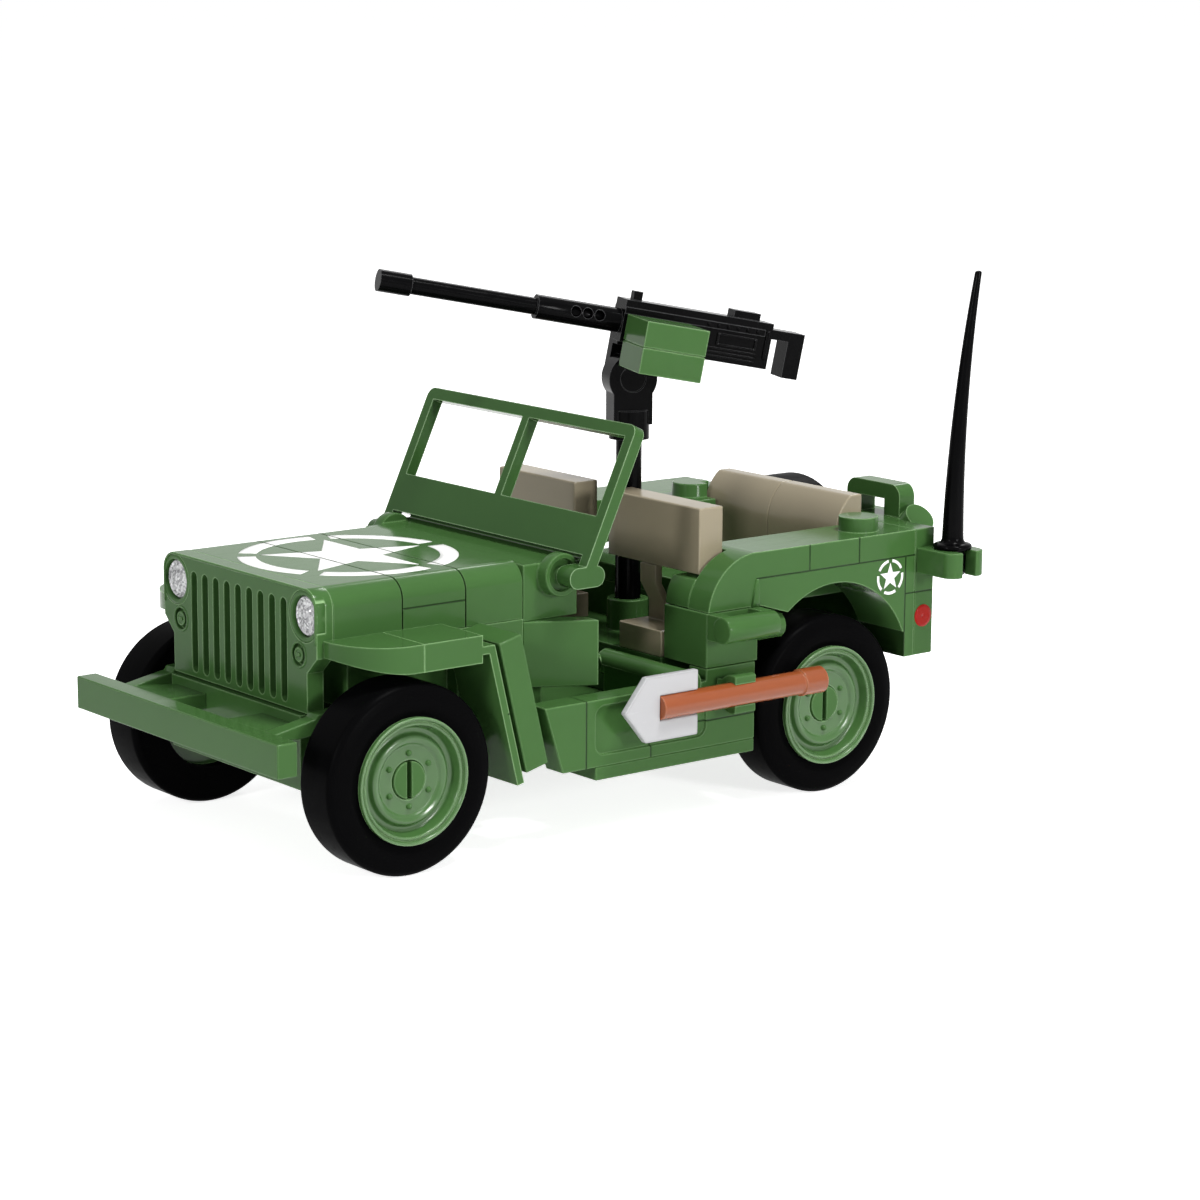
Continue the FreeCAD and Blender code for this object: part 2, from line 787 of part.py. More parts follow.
def gun_body():
    """Barrel, jacket, receiver with ribs, sights, grips, lug and cross pin in one piece."""
    y = post_y
    z = pivot_z + gun_h
    w = receiver_half
    jacket = rod((0, y - jacket_t, z), (0, 1, 0), jacket_r, jacket_len)
    for i in range(hole_count):
        hole_y = y - jacket_hole_t + i * jacket_hole_step
        jacket = jacket.cut(rod((-pitch / 2, hole_y, z + jacket_hole_up), (1, 0, 0), jacket_hole_r, pitch))
    top = z + receiver_high
    rear = y + receiver_back
    end = y + grip_back
    lug_x = -fork_t / 2 - lug_gap - lug_t
    pin_end = -fork_t / 2 - lug_gap + fork_t
    parts = [
        jacket,
        rod((0, y - muzzle_t, z), (0, 1, 0), muzzle_r, muzzle_len),
        rod((0, y - muzzle_t, z), (0, 1, 0), barrel_r, muzzle_t - jacket_t),
        box(-w, w, y - receiver_front, rear, z - receiver_low, top),
        box(-w - rib_out, w + rib_out, y - receiver_front, rear - reach, z + rib_low, z + rib_high),
        box(-sight_w, sight_w, y - sight_front_y - sight_l, y - sight_front_y + sight_l, top, top + sight_h),
        box(-sight_rear_w, sight_rear_w, y + sight_rear_y, y + sight_rear_y + sight_rear_l,
            top, top + sight_rear_h),
        box(-w, w, rear, end, z + grip_rise - grip_top_t, z + grip_rise),
        box(-w, w, end - grip_bar_t, end, z - grip_drop, z + grip_rise),
        box(-w, w, y + shelf_back, rear, z - receiver_drop, z),
        box(lug_x, lug_x + lug_t, y - lug_r, y + lug_r, pivot_z, z),
        rod((lug_x, y, pivot_z), (1, 0, 0), lug_r, lug_t),
        box(lug_x, 0, y - lug_r, y + shelf_back, z - receiver_low - shelf_t, z - receiver_low),
        rod((lug_x, y, pivot_z), (1, 0, 0), bar_r, pin_end - lug_x)]
    return aim(join(parts), True)


def ammo_box():
    """The ammunition box, two plates high with the seam between them."""
    y0 = post_y - box_front
    y1 = y0 + pitch
    x1 = box_x + pitch - box_groove
    low = pivot_z + box_rise
    g = box_groove_depth
    half = box_groove / 2
    body = box(box_x, x1, y0, y1, low, low + 2 * plate)
    seam = box(box_x - reach, x1 + reach, y0 - reach, y1 + reach, low + plate - half, low + plate + half)
    core = box(box_x + g, x1 - g, y0 + g, y1 - g, low, low + 2 * plate)
    return aim(join([body.cut(seam), core]), True)


pieces["gun head"] = gun_head()
pieces["gun"] = gun_body()
pieces["ammunition box"] = ammo_box()


def windscreen():
    """The folding windscreen, built upright behind its hinge line and then leaned back."""
    y0 = hinge_y + screen_off - screen_t / 2
    y1 = y0 + screen_t
    h = screen_half
    low = hinge_z + screen_low
    high = hinge_z + screen_high
    frame = box(-h, h, y0, y1, low, high)
    for side in (-1, 1):
        pane = box(side * screen_post / 2, side * (h - screen_bar), y0 - reach, y1 + reach,
                   hinge_z + screen_panel, high - screen_bar)
        frame = frame.cut(pane)
    frame = soften(frame, screen_corner, lambda m, d: abs(d.y) > screen_t / 2 and m.z > high - run_gap)
    parts = [frame]
    for side in (-1, 1):
        parts.append(box(side * h, side * (h - screen_bar), y0, y1, hinge_z, low))
    frame = join(parts)
    frame.rotate(V(0, hinge_y, hinge_z), V(1, 0, 0), -screen_lean)
    arm_x = hood_half + hinge_boss_t + play
    elbow_y = hinge_y + hinge_arm_len
    parts = [frame]
    for side in (-1, 1):
        width = h - arm_x
        for y in (hinge_y, elbow_y):
            parts.append(rod((side * arm_x, y, hinge_z), (side, 0, 0), hinge_arm_r, width))
        parts.append(box(side * arm_x, side * h, hinge_y, elbow_y,
                         hinge_z - hinge_arm_r, hinge_z + hinge_arm_r))
    frame = join(parts)
    length = hinge_boss_t + play
    for side in (-1, 1):
        frame = frame.cut(rod((side * (arm_x - reach), hinge_y, hinge_z), (side, 0, 0),
                              hinge_pin_r + run_gap, length + reach))
    return frame


pieces["windscreen"] = windscreen()


def rear_wall():
    """The upright rear wall with the pin that carries the spare wheel."""
    wall = box(-body_half, body_half, rear_end_y, rear_end_y + plate, rear_wall_low, rear_top)
    pin = rod((spare_x, rear_end_y + plate, spare_z), (0, 1, 0), rim_bore_r - run_gap,
              tyre_w + play - axle_inset)
    return join([wall, pin])


pieces["rear wall"] = rear_wall()

# Spare wheel on the rear wall, its axis along y
for shape, name, proud in ((tyre_solid(), "spare tyre", 0.0), (rim_solid(), "spare rim", rim_proud)):
    shape.rotate(V(0, 0, 0), V(0, 0, 1), 90)
    shape.translate(V(spare_x, rear_end_y + plate + play + tyre_w + proud, spare_z))
    pieces[name] = shape


def can():
    """A fuel can with a broad loop handle and a tilted cap."""
    y0 = rear_end_y + plate
    x0 = can_x - can_w / 2
    middle = y0 + can_t / 2
    low = middle - can_handle_t / 2
    high = middle + can_handle_t / 2
    body = box(x0, x0 + can_w, y0, y0 + can_t, can_top - can_h, can_top)
    body = soften(body, can_round, lambda m, d: abs(d.y) > can_t / 2)
    handle_top = can_top + can_handle_h
    handle = box(can_handle_x0, can_handle_x1, low, high, can_top - can_round, handle_top)
    handle = soften(handle, can_round,
                    lambda m, d: abs(d.y) > can_handle_t / 2 and m.z > handle_top - run_gap)
    handle = handle.cut(box(can_grip_x0, can_grip_x1, low - reach, high + reach,
                            can_top, handle_top - can_grip_t))
    cap = rod((can_cap_x, middle, can_top - can_cap_drop), (1, 0, 1), can_cap_r, can_cap_h)
    return join([body, handle, cap])


pieces["fuel can"] = can()


def antenna_bracket():
    """A small clip that sticks out of the rear corner and grips the aerial."""
    back = antenna_y + clip_r
    front = antenna_y - clip_r
    arm = box(body_half, antenna_x, front, rear_end_y + plate, clip_z, clip_z + plate)
    jaws = box(antenna_x, antenna_x + clip_r, front, back, clip_z, clip_z + plate)
    jaws = soften(jaws, bar_r, lambda m, d: abs(d.z) > plate / 2 and m.x > antenna_x + reach)
    ring = rod((antenna_x, antenna_y, clip_z), (0, 0, 1), clip_r, plate)
    bracket = join([arm, jaws, ring])
    bracket = bracket.cut(rod((antenna_x, antenna_y, clip_z - reach), (0, 0, 1), bar_r, plate + 2 * reach))
    mouth = box(antenna_x, antenna_x + 2 * clip_r, antenna_y - clip_mouth, antenna_y + clip_mouth,
                clip_z - reach, clip_z + plate + reach)
    return bracket.cut(mouth).removeSplitter()


def antenna():
    """A whip aerial: a barrel in the clip, a collar and a long taper that bends back to its tip."""
    collar_z = clip_z + plate
    base_z = collar_z + antenna_collar_h
    height = antenna_top - base_z
    rings = []
    for i in range(antenna_steps + 1):
        t = i / antenna_steps
        centre = V(antenna_x, antenna_y + antenna_lean * t ** 2, base_z + height * t)
        radius = antenna_base_r + (antenna_tip_r - antenna_base_r) * t
        rings.append(Part.Wire(Part.Circle(centre, V(0, 0, 1), radius).toShape()))
    return join([
        rod((antenna_x, antenna_y, clip_z), (0, 0, 1), bar_r, base_z - clip_z),
        rod((antenna_x, antenna_y, collar_z), (0, 0, 1), antenna_collar_r, antenna_collar_h),
        Part.makeLoft(rings, True)])


pieces["antenna bracket"] = antenna_bracket()
pieces["antenna"] = antenna()


def spade():
    """A pointed blade, notched for its round handle, held along the left side."""
    rear = spade_tip_y + spade_len
    shoulder = spade_tip_y + spade_shoulder
    h = spade_half
    z = spade_z
    outline = [(spade_tip_y, z), (shoulder, z + h), (rear, z + h), (rear, z - h), (shoulder, z - h)]
    blade = side_prism(outline, spade_x - spade_t / 2, spade_x + spade_t / 2)
    notch = box(spade_x - reach, spade_x + reach, spade_tip_y + spade_notch, rear + reach,
                z - handle_r, z + handle_r)
    return blade.cut(notch)


def spade_handle():
    """The handle with a thicker grip at its rear end."""
    y0 = spade_tip_y + spade_notch
    y1 = y0 + handle_len
    shaft = rod((spade_x, y0, spade_z), (0, 1, 0), handle_r, handle_len)
    grip = rod((spade_x, y1, spade_z), (0, 1, 0), handle_grip_r, handle_grip_len)
    return join([shaft, grip])


def tool_clip():
    """The clip that holds the handle: a foot on the side panel and two lobes."""
    y0 = tool_clip_y
    y1 = y0 + tool_clip_w
    z = spade_z
    lobe = handle_r + stud_h / 2
    foot = box(body_half, spade_x - handle_r, y0, y1, z - bar_r, z + bar_r)
    ring = rod((spade_x, y0, z), (0, 1, 0), lobe, tool_clip_w)
    ring = ring.cut(box(spade_x + bar_r / 2, spade_x + pitch, y0 - reach, y1 + reach, z - pitch, z + pitch))
    body = join([foot, ring])
    return body.cut(rod((spade_x, y0 - reach, z), (0, 1, 0), handle_r, tool_clip_w + 2 * reach))


pieces["spade blade"] = spade()
pieces["spade handle"] = spade_handle()
pieces["tool clip"] = tool_clip()

# Place the whole over the origin and write every piece
whole = Part.makeCompound(list(pieces.values()))
bounds = whole.optimalBoundingBox(False, False)
shift = V(-(bounds.XMin + bounds.XMax) / 2, -(bounds.YMin + bounds.YMax) / 2, -bounds.ZMin)
os.makedirs("parts", exist_ok=True)
for name, shape in pieces.items():
    shape.translate(shift)
    shape.exportStep("parts/" + name.replace(" ", "_") + ".step")
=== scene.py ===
# %% [markdown]
# # A brick-built toy army car
# The real thing is a palm-sized toy: glossy green bricks, tan seats, a black toy gun on a post,
# smooth rubber tyres and a few printed markings. The solids come from the CAD frame and keep their
# shape. This lesson rounds their edges, gives each plastic its finish, and makes the pieces that
# live by their curves, such as wheels and lamps, as new surfaces. The scene is in metres, and the
# car faces -Y with its left side at +X.

# %% Load the frame
import bmesh
import bpy
import json
import math
import numpy as np
from mathutils import Matrix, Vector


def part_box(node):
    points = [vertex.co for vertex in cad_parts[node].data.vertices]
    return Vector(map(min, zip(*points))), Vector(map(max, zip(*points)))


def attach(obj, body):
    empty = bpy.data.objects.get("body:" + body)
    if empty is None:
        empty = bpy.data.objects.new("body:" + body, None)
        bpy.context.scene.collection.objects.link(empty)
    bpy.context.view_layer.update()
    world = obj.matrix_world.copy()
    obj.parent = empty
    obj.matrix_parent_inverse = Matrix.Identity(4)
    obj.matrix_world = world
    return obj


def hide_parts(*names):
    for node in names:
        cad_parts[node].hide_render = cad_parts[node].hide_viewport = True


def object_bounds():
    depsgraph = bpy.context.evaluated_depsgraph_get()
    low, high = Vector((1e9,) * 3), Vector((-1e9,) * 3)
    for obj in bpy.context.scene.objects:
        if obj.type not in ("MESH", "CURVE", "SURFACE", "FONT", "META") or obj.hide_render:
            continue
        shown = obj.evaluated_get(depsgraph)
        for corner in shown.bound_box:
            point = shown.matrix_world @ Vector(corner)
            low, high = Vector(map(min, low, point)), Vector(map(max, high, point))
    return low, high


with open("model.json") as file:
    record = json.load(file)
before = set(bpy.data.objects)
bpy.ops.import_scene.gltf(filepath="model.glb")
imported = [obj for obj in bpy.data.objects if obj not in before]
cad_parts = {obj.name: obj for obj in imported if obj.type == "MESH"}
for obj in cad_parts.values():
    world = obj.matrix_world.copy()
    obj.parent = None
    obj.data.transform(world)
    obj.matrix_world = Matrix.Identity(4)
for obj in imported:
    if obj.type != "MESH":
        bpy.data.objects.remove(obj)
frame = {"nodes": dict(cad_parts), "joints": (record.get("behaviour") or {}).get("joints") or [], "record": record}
nodes = frame["nodes"]
joints = {j["name"]: j for j in frame["joints"]}
cad_low, cad_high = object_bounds()
mm = 0.001
print("CAD nodes:", len(nodes), " box in mm:", [round(v / mm, 1) for v in cad_high - cad_low])

# %% [markdown]
# Places are read from the frame, not typed again. The joints say where each wheel turns, and a
# node's box says where its faces are. The helpers below give both in millimetres.

# %% Where things are


def joint_place(name):
    """The point a joint turns about, as an array in millimetres."""
    return np.array(joints[name]["pos_m"]) / mm


def node_box(name):
    """Lowest and highest corner of a CAD node, as two arrays in millimetres."""
    low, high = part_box(name)
    return np.array(low) / mm, np.array(high) / mm


sides = ((1, "left"), (-1, "right"))
front_axle = joint_place("front_left_wheel_spin")
rear_axle = joint_place("rear_left_wheel_spin")
axle_y = front_axle[1]
centre_x = (node_box("front_axle")[0][0] + node_box("front_axle")[1][0]) / 2
print("front axle y", round(axle_y, 2), " wheelbase", round(rear_axle[1] - axle_y, 2))

# %% [markdown]
# A new surface is a grid of points: rows one way, columns the other. One piece of index arithmetic
# turns any such grid into quads. A grid may close on itself along either direction, and a shape of
# revolution closes along both, so it has no seam and no pole.

# %% Surfaces from grids


def grid_quads(rows, cols, wrap_rows, wrap_cols, start=0):
    """Corner numbers of every cell: (r, c), (r, c+1), (r+1, c+1), (r+1, c), with wrapping."""
    r = np.arange(rows if wrap_rows else rows - 1)[:, None]
    c = np.arange(cols if wrap_cols else cols - 1)[None, :]
    r2 = (r + 1) % rows
    c2 = (c + 1) % cols
    quads = np.stack([r * cols + c, r * cols + c2, r2 * cols + c2, r2 * cols + c], axis=-1)
    return quads.reshape(-1, 4) + start


def mesh_object(name, points, faces, body, finish, smooth=True):
    """A mesh object from points in millimetres, riding on a body and a finish."""
    mesh = bpy.data.meshes.new(name)
    corners = (np.asarray(points).reshape(-1, 3) * mm).tolist()
    mesh.from_pydata(corners, [], [list(face) for face in faces])
    mesh.validate()
    mesh.polygons.foreach_set("use_smooth", np.full(len(mesh.polygons), smooth))
    piece = bpy.data.objects.new(name, mesh)
    bpy.context.scene.collection.objects.link(piece)
    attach(piece, body)
    mesh.materials.append(finish)
    return piece


def full_turn(count):
    """Evenly spaced angles round a circle, without the first one's repeat at the end."""
    return np.linspace(0, 2 * np.pi, count, endpoint=False)


def rounded_profile(corners, cuts, steps):
    """A closed outline with soft corners.
    Each corner P becomes a curve from A = P - cut * (direction in) to B = P + cut * (direction
    out): (1-t)^2 A + 2 t (1-t) P + t^2 B, for t from 0 to 1."""
    corners = np.asarray(corners, float)
    cuts = np.asarray(cuts, float)[:, None]
    inward = corners - np.roll(corners, 1, axis=0)
    outward = np.roll(corners, -1, axis=0) - corners
    a = corners - cuts * inward / np.linalg.norm(inward, axis=1, keepdims=True)
    b = corners + cuts * outward / np.linalg.norm(outward, axis=1, keepdims=True)
    t = np.linspace(0, 1, steps)[None, :, None]
    curve = (1 - t) ** 2 * a[:, None] + 2 * t * (1 - t) * corners[:, None] + t ** 2 * b[:, None]
    return curve.reshape(-1, 2)


def revolve(profile, centre, axis, side, turns):
    """A profile of (along, radius) pairs carried round an axis.
    The point at angle a is centre + along * axis + radius * (cos a, sin a) across the axis."""
    angle = full_turn(turns)[None, :]
    along = side * profile[:, 0][:, None] + 0 * angle
    across = profile[:, 1][:, None] * np.cos(angle)
    up = profile[:, 1][:, None] * np.sin(angle)
    if axis == "x":
        grid = np.stack([along, across, up], axis=-1)
    else:
        grid = np.stack([across, along, up], axis=-1)
    return grid + np.asarray(centre)


def signed_volume(points, quads):
    """Sum over the quads' two triangles of p . (q x r) / 6, which is negative if faces point in."""
    p = points.reshape(-1, 3)
    total = 0.0
    for i, j, k in ((0, 1, 2), (0, 2, 3)):
        a, b, c = p[quads[:, i]], p[quads[:, j]], p[quads[:, k]]
        total += np.einsum("ij,ij->i", a, np.cross(b, c)).sum() / 6
    return total


def closed_grid(name, grid, body, slot, finish):
    """A grid that closes both ways, with its faces turned outwards."""
    quads = grid_quads(grid.shape[0], grid.shape[1], True, True)
    if signed_volume(grid, quads) < 0:
        quads = quads[:, ::-1]
    return mesh_object(name, grid, quads, body, finish)


def outward(piece):
    """Turn all faces of a closed piece outwards."""
    work = bmesh.new()
    work.from_mesh(piece.data)
    bmesh.ops.recalc_face_normals(work, faces=work.faces)
    work.to_mesh(piece.data)
    work.free()


def capped_grids(name, grids, body, slot, finish):
    """Several grids that close one way, each capped at both ends, joined as one piece."""
    points, faces, first = [], [], 0
    for grid in grids:
        rows, cols = grid.shape[:2]
        faces += grid_quads(rows, cols, False, True, first).tolist()
        faces.append([first + c for c in range(cols)][::-1])
        faces.append([first + (rows - 1) * cols + c for c in range(cols)])
        points.append(grid.reshape(-1, 3))
        first += rows * cols
    piece = mesh_object(name, np.vstack(points), faces, body, finish)
    outward(piece)
    return piece


print("helpers ready")

# %% [markdown]
# ## Finishes
# Moulded plastic is never one flat colour. Its tone drifts and its gloss is broken by faint handling
# marks; its rounded edges get a painted highlight, a lighter colour (on the spade a painted shade, a
# darker one). Every finish uses those effects, so each is built once as a node group and placed
# with its own values.

# %% Node helpers


def new_group(name, inputs, outputs):
    """An empty shader node group, with number inputs and their defaults, and its two end nodes."""
    group = bpy.data.node_groups.new(name, "ShaderNodeTree")
    for label, value in inputs:
        socket = group.interface.new_socket(label, in_out="INPUT", socket_type="NodeSocketFloat")
        socket.default_value = value
    for label, kind in outputs:
        group.interface.new_socket(label, in_out="OUTPUT", socket_type=kind)
    return group, group.nodes.new("NodeGroupInput"), group.nodes.new("NodeGroupOutput")


def feed(tree, socket, source):
    """Link a socket into an input, or set the input's own value."""
    if isinstance(source, bpy.types.NodeSocket):
        tree.links.new(source, socket)
    else:
        socket.default_value = source


def node(tree, kind, settings=None, **values):
    """A shader node with its settings; each value goes into the input socket of that name."""
    made = tree.nodes.new("ShaderNode" + kind)
    for key, value in (settings or {}).items():
        setattr(made, key, value)
    for key, value in values.items():
        feed(tree, made.inputs[key.replace("_", " ")], value)
    return made


def noise(tree, place, **values):
    """A noise texture laid out by a place node's own space of the object."""
    return node(tree, "TexNoise", Vector=place.outputs["Object"], **values)


def math_node(tree, operation, *sources):
    """A Math node fed by sockets or plain numbers, giving its output socket."""
    made = node(tree, "Math", {"operation": operation})
    for socket, source in zip(made.inputs, sources):
        feed(tree, socket, source)
    return made.outputs[0]


def remap(tree, source, low, high, to_high):
    """A value's range low..high stretched to 0..to_high and held there."""
    made = node(tree, "MapRange", Value=source, From_Min=low, From_Max=high,
                To_Min=0.0, To_Max=to_high)
    return made.outputs["Result"]


def mix_colour(tree, factor, first, second):
    """A colour socket turned by a factor into a second colour of three numbers."""
    made = node(tree, "Mix", {"data_type": "RGBA"}, Factor=factor)
    tree.links.new(first, made.inputs[6])
    made.inputs[7].default_value = (*second, 1.0)
    return made.outputs[2]


def new_material(name):
    """A material with nodes: the material, its tree and its Principled shader."""
    material = bpy.data.materials.new(name)
    material.use_nodes = True
    tree = material.node_tree
    return material, tree, tree.nodes["Principled BSDF"]


print("node helpers ready")

# %% [markdown]
# The first group is the drift of tone: broad clouds, as from the flow of plastic in the mould, and
# a finer mottle. The result is a number near 1 that multiplies the base colour.

# %% Tone group
tone_group, gi, go = new_group(
    "plastic_tone", [("Cloud size", 60.0), ("Amount", 0.1)], [("Tone", "NodeSocketFloat")])
place = node(tone_group, "TexCoord")
cloud = noise(tone_group, place, Scale=gi.outputs["Cloud size"], Detail=3.0)
fine_scale = math_node(tone_group, "MULTIPLY", gi.outputs["Cloud size"], 7.0)
mottle = noise(tone_group, place, Scale=fine_scale, Detail=4.0)
broad = math_node(tone_group, "SUBTRACT", cloud.outputs["Fac"], 0.5)
small = math_node(tone_group, "SUBTRACT", mottle.outputs["Fac"], 0.5)
both = math_node(tone_group, "MULTIPLY_ADD", small, 0.35, broad)
drift = math_node(tone_group, "MULTIPLY", both, gi.outputs["Amount"])
tone = math_node(tone_group, "ADD", drift, 1.0)
tone_group.links.new(tone, go.inputs["Tone"])
print("tone group:", len(tone_group.nodes), "nodes")

# %% [markdown]
# The second group finds edges, where the finishes paint their highlight (on the spade, their shade)
# into the colour. The Bevel node gives the normal of a rounder surface, so where it leans away from
# the true one there is an edge near. Noise breaks the mask, so the painted edge light is uneven.

# %% Edge group
# This mask says where the painted edge highlight (on the spade, the painted edge shade) goes.
painted_edge_group, gi, go = new_group(
    "painted_edge_mask", [("Radius", 0.0003), ("Breakup", 0.4)], [("Edge", "NodeSocketFloat")])
rounder = node(painted_edge_group, "Bevel", {"samples": 6}, Radius=gi.outputs["Radius"])
surface = node(painted_edge_group, "NewGeometry")
dot = node(painted_edge_group, "VectorMath", {"operation": "DOT_PRODUCT"})
for socket, source in zip(dot.inputs, (rounder, surface)):
    painted_edge_group.links.new(source.outputs["Normal"], socket)
lean = math_node(painted_edge_group, "SUBTRACT", 1.0, dot.outputs["Value"])
mask = remap(painted_edge_group, lean, 0.01, 0.2, 1.0)
place = node(painted_edge_group, "TexCoord")
patchy = noise(painted_edge_group, place, Scale=350.0, Detail=2.0)
loss = math_node(painted_edge_group, "MULTIPLY", patchy.outputs["Fac"], gi.outputs["Breakup"])
kept = math_node(painted_edge_group, "SUBTRACT", 1.0, loss)
edge = math_node(painted_edge_group, "MULTIPLY", mask, kept)
painted_edge_group.links.new(edge, go.inputs["Edge"])
print("edge group:", len(painted_edge_group.nodes), "nodes")

# %% [markdown]
# The third group is the skin: fine scuffs that change the gloss, and the ripple a mould leaves.
# Scuffs are noise stretched along one direction, so they read as short strokes.

# %% Skin group
skin_group, gi, go = new_group(
    "moulded_skin", [("Gloss", 0.25), ("Scuffs", 0.12), ("Ripple", 0.1)],
    [("Roughness", "NodeSocketFloat"), ("Normal", "NodeSocketVector")])
place = node(skin_group, "TexCoord")
stretch = node(skin_group, "Mapping", Vector=place.outputs["Object"],
               Scale=(1.0, 0.16, 1.0), Rotation=(0.5, 0.3, 0.7))
strokes = node(skin_group, "TexNoise", Vector=stretch.outputs["Vector"], Scale=1500.0,
               Detail=5.0, Roughness=0.6)
stroke_mask = remap(skin_group, strokes.outputs["Fac"], 0.48, 0.72, 1.0)
smudge = noise(skin_group, place, Scale=110.0, Detail=3.0)
smudge_mask = remap(skin_group, smudge.outputs["Fac"], 0.35, 0.7, 0.5)
marks = math_node(skin_group, "ADD", stroke_mask, smudge_mask)
rough = math_node(skin_group, "MULTIPLY_ADD", marks, gi.outputs["Scuffs"], gi.outputs["Gloss"])
skin_group.links.new(rough, go.inputs["Roughness"])
ripple = noise(skin_group, place, Scale=420.0, Detail=3.0)
height = math_node(skin_group, "MULTIPLY_ADD", stroke_mask, -0.15, ripple.outputs["Fac"])
bump = node(skin_group, "Bump", Distance=0.00004, Height=height, Strength=gi.outputs["Ripple"])
skin_group.links.new(bump.outputs["Normal"], go.inputs["Normal"])
print("skin group:", len(skin_group.nodes), "nodes")

# %% [markdown]
# Where two bricks meet in one plane there is a hair-thin joint line, too fine to be worth geometry.
# A fourth group draws it, from how near a point is to the line and whether it lies between the
# line's ends. The result darkens the colour and sinks the bump a little.

# %% Seam group
seam_group, gi, go = new_group(
    "brick_seam", [("Across", 0.0), ("Along", 0.0), ("Place", 0.0), ("Low", 0.0), ("High", 1.0),
                   ("Half width", 0.12)],
    [("Seam", "NodeSocketFloat")])
offset = math_node(seam_group, "SUBTRACT", gi.outputs["Across"], gi.outputs["Place"])
away = math_node(seam_group, "ABSOLUTE", offset)
share = math_node(seam_group, "DIVIDE", away, gi.outputs["Half width"])
near = math_node(seam_group, "MAXIMUM", math_node(seam_group, "SUBTRACT", 1.0, share), 0.0)
after = math_node(seam_group, "GREATER_THAN", gi.outputs["Along"], gi.outputs["Low"])
before = math_node(seam_group, "LESS_THAN", gi.outputs["Along"], gi.outputs["High"])
within = math_node(seam_group, "MULTIPLY", after, before)
drawn = math_node(seam_group, "MULTIPLY", near, within)
firm = math_node(seam_group, "MINIMUM", math_node(seam_group, "MULTIPLY", drawn, 2.0), 1.0)
seam_group.links.new(firm, go.inputs["Seam"])
print("seam group:", len(seam_group.nodes), "nodes")

# %% [markdown]
# Each plastic is a Principled shader in its own material, fed by the groups: the tone times
# the colour, then the painted edge colour, a painted highlight along the edges (a painted shade on
# the spade), then the skin's roughness and normal.
# Values that are the same all over, such as the strength of the shine, are set on the shader
# itself. Seam places are read off the photograph, in millimetres behind the front axle and above
# the ground.

# %% Plastic finishes
seam_strength, seam_shade, seam_depth = 0.8, 0.15, 0.0001


def seam_mask(tree, seams, lean):
    """The largest of all the seams' masks; a seam is (axis, place, low, high) in millimetres,
    measured after the part is turned about X by its lean."""
    place = node(tree, "TexCoord")
    upright = node(tree, "VectorRotate", {"rotation_type": "X_AXIS"},
                   Vector=place.outputs["Object"], Angle=lean)
    scaled = node(tree, "VectorMath", {"operation": "SCALE"},
                  Vector=upright.outputs["Vector"], Scale=1 / mm)
    split = node(tree, "SeparateXYZ", Vector=scaled.outputs["Vector"])
    total = None
    for axis, where, low, high in seams:
        drawn = node(tree, "Group", {"node_tree": seam_group}, Across=split.outputs[axis],
                     Along=split.outputs["Z" if axis == "Y" else "Y"], Place=where, Low=low,
                     High=high)
        seam = drawn.outputs["Seam"]
        total = seam if total is None else math_node(tree, "MAXIMUM", total, seam)
    return total


def plastic(name, colour, painted_edge_colour, gloss, scuffs, tone_amount, painted_edge_radius, ripple, shine,
            seams=(), lean=0.0):
    """A moulded plastic with drifting tone, a painted edge colour, a handled skin and any seams."""
    material, tree, shader = new_material(name)
    tones = node(tree, "Group", {"node_tree": tone_group}, Amount=tone_amount)
    edges = node(tree, "Group", {"node_tree": painted_edge_group}, Radius=painted_edge_radius)
    skin = node(tree, "Group", {"node_tree": skin_group},
                Gloss=gloss, Scuffs=scuffs, Ripple=ripple)
    tinted = node(tree, "VectorMath", {"operation": "SCALE"}, Vector=colour,
                  Scale=tones.outputs["Tone"])
    # Edges get the painted edge colour: a painted highlight where it is lighter than the colour, a painted shade
    # where it is darker.
    surface_colour = mix_colour(tree, edges.outputs["Edge"], tinted.outputs["Vector"], painted_edge_colour)
    surface_normal = skin.outputs["Normal"]
    if seams:
        mask = seam_mask(tree, seams, lean)
        surface_colour = mix_colour(tree, math_node(tree, "MULTIPLY", mask, seam_strength),
                                    surface_colour, [seam_shade * value for value in colour])
        groove = node(tree, "Bump", Distance=seam_depth, Normal=surface_normal,
                      Height=math_node(tree, "SUBTRACT", 1.0, mask))
        surface_normal = groove.outputs["Normal"]
    tree.links.new(surface_colour, shader.inputs["Base Color"])
    tree.links.new(skin.outputs["Roughness"], shader.inputs["Roughness"])
    tree.links.new(surface_normal, shader.inputs["Normal"])
    shader.inputs["Specular IOR Level"].default_value = shine
    return material


# The second colour is the painted edge colour, a lighter green: a painted highlight along the edges.
green_values = ((0.046, 0.115, 0.031), (0.27, 0.44, 0.21),
                0.13, 0.07, 0.16, 0.00030, 0.08, 0.085)
army_green = plastic("army_green_plastic", *green_values)
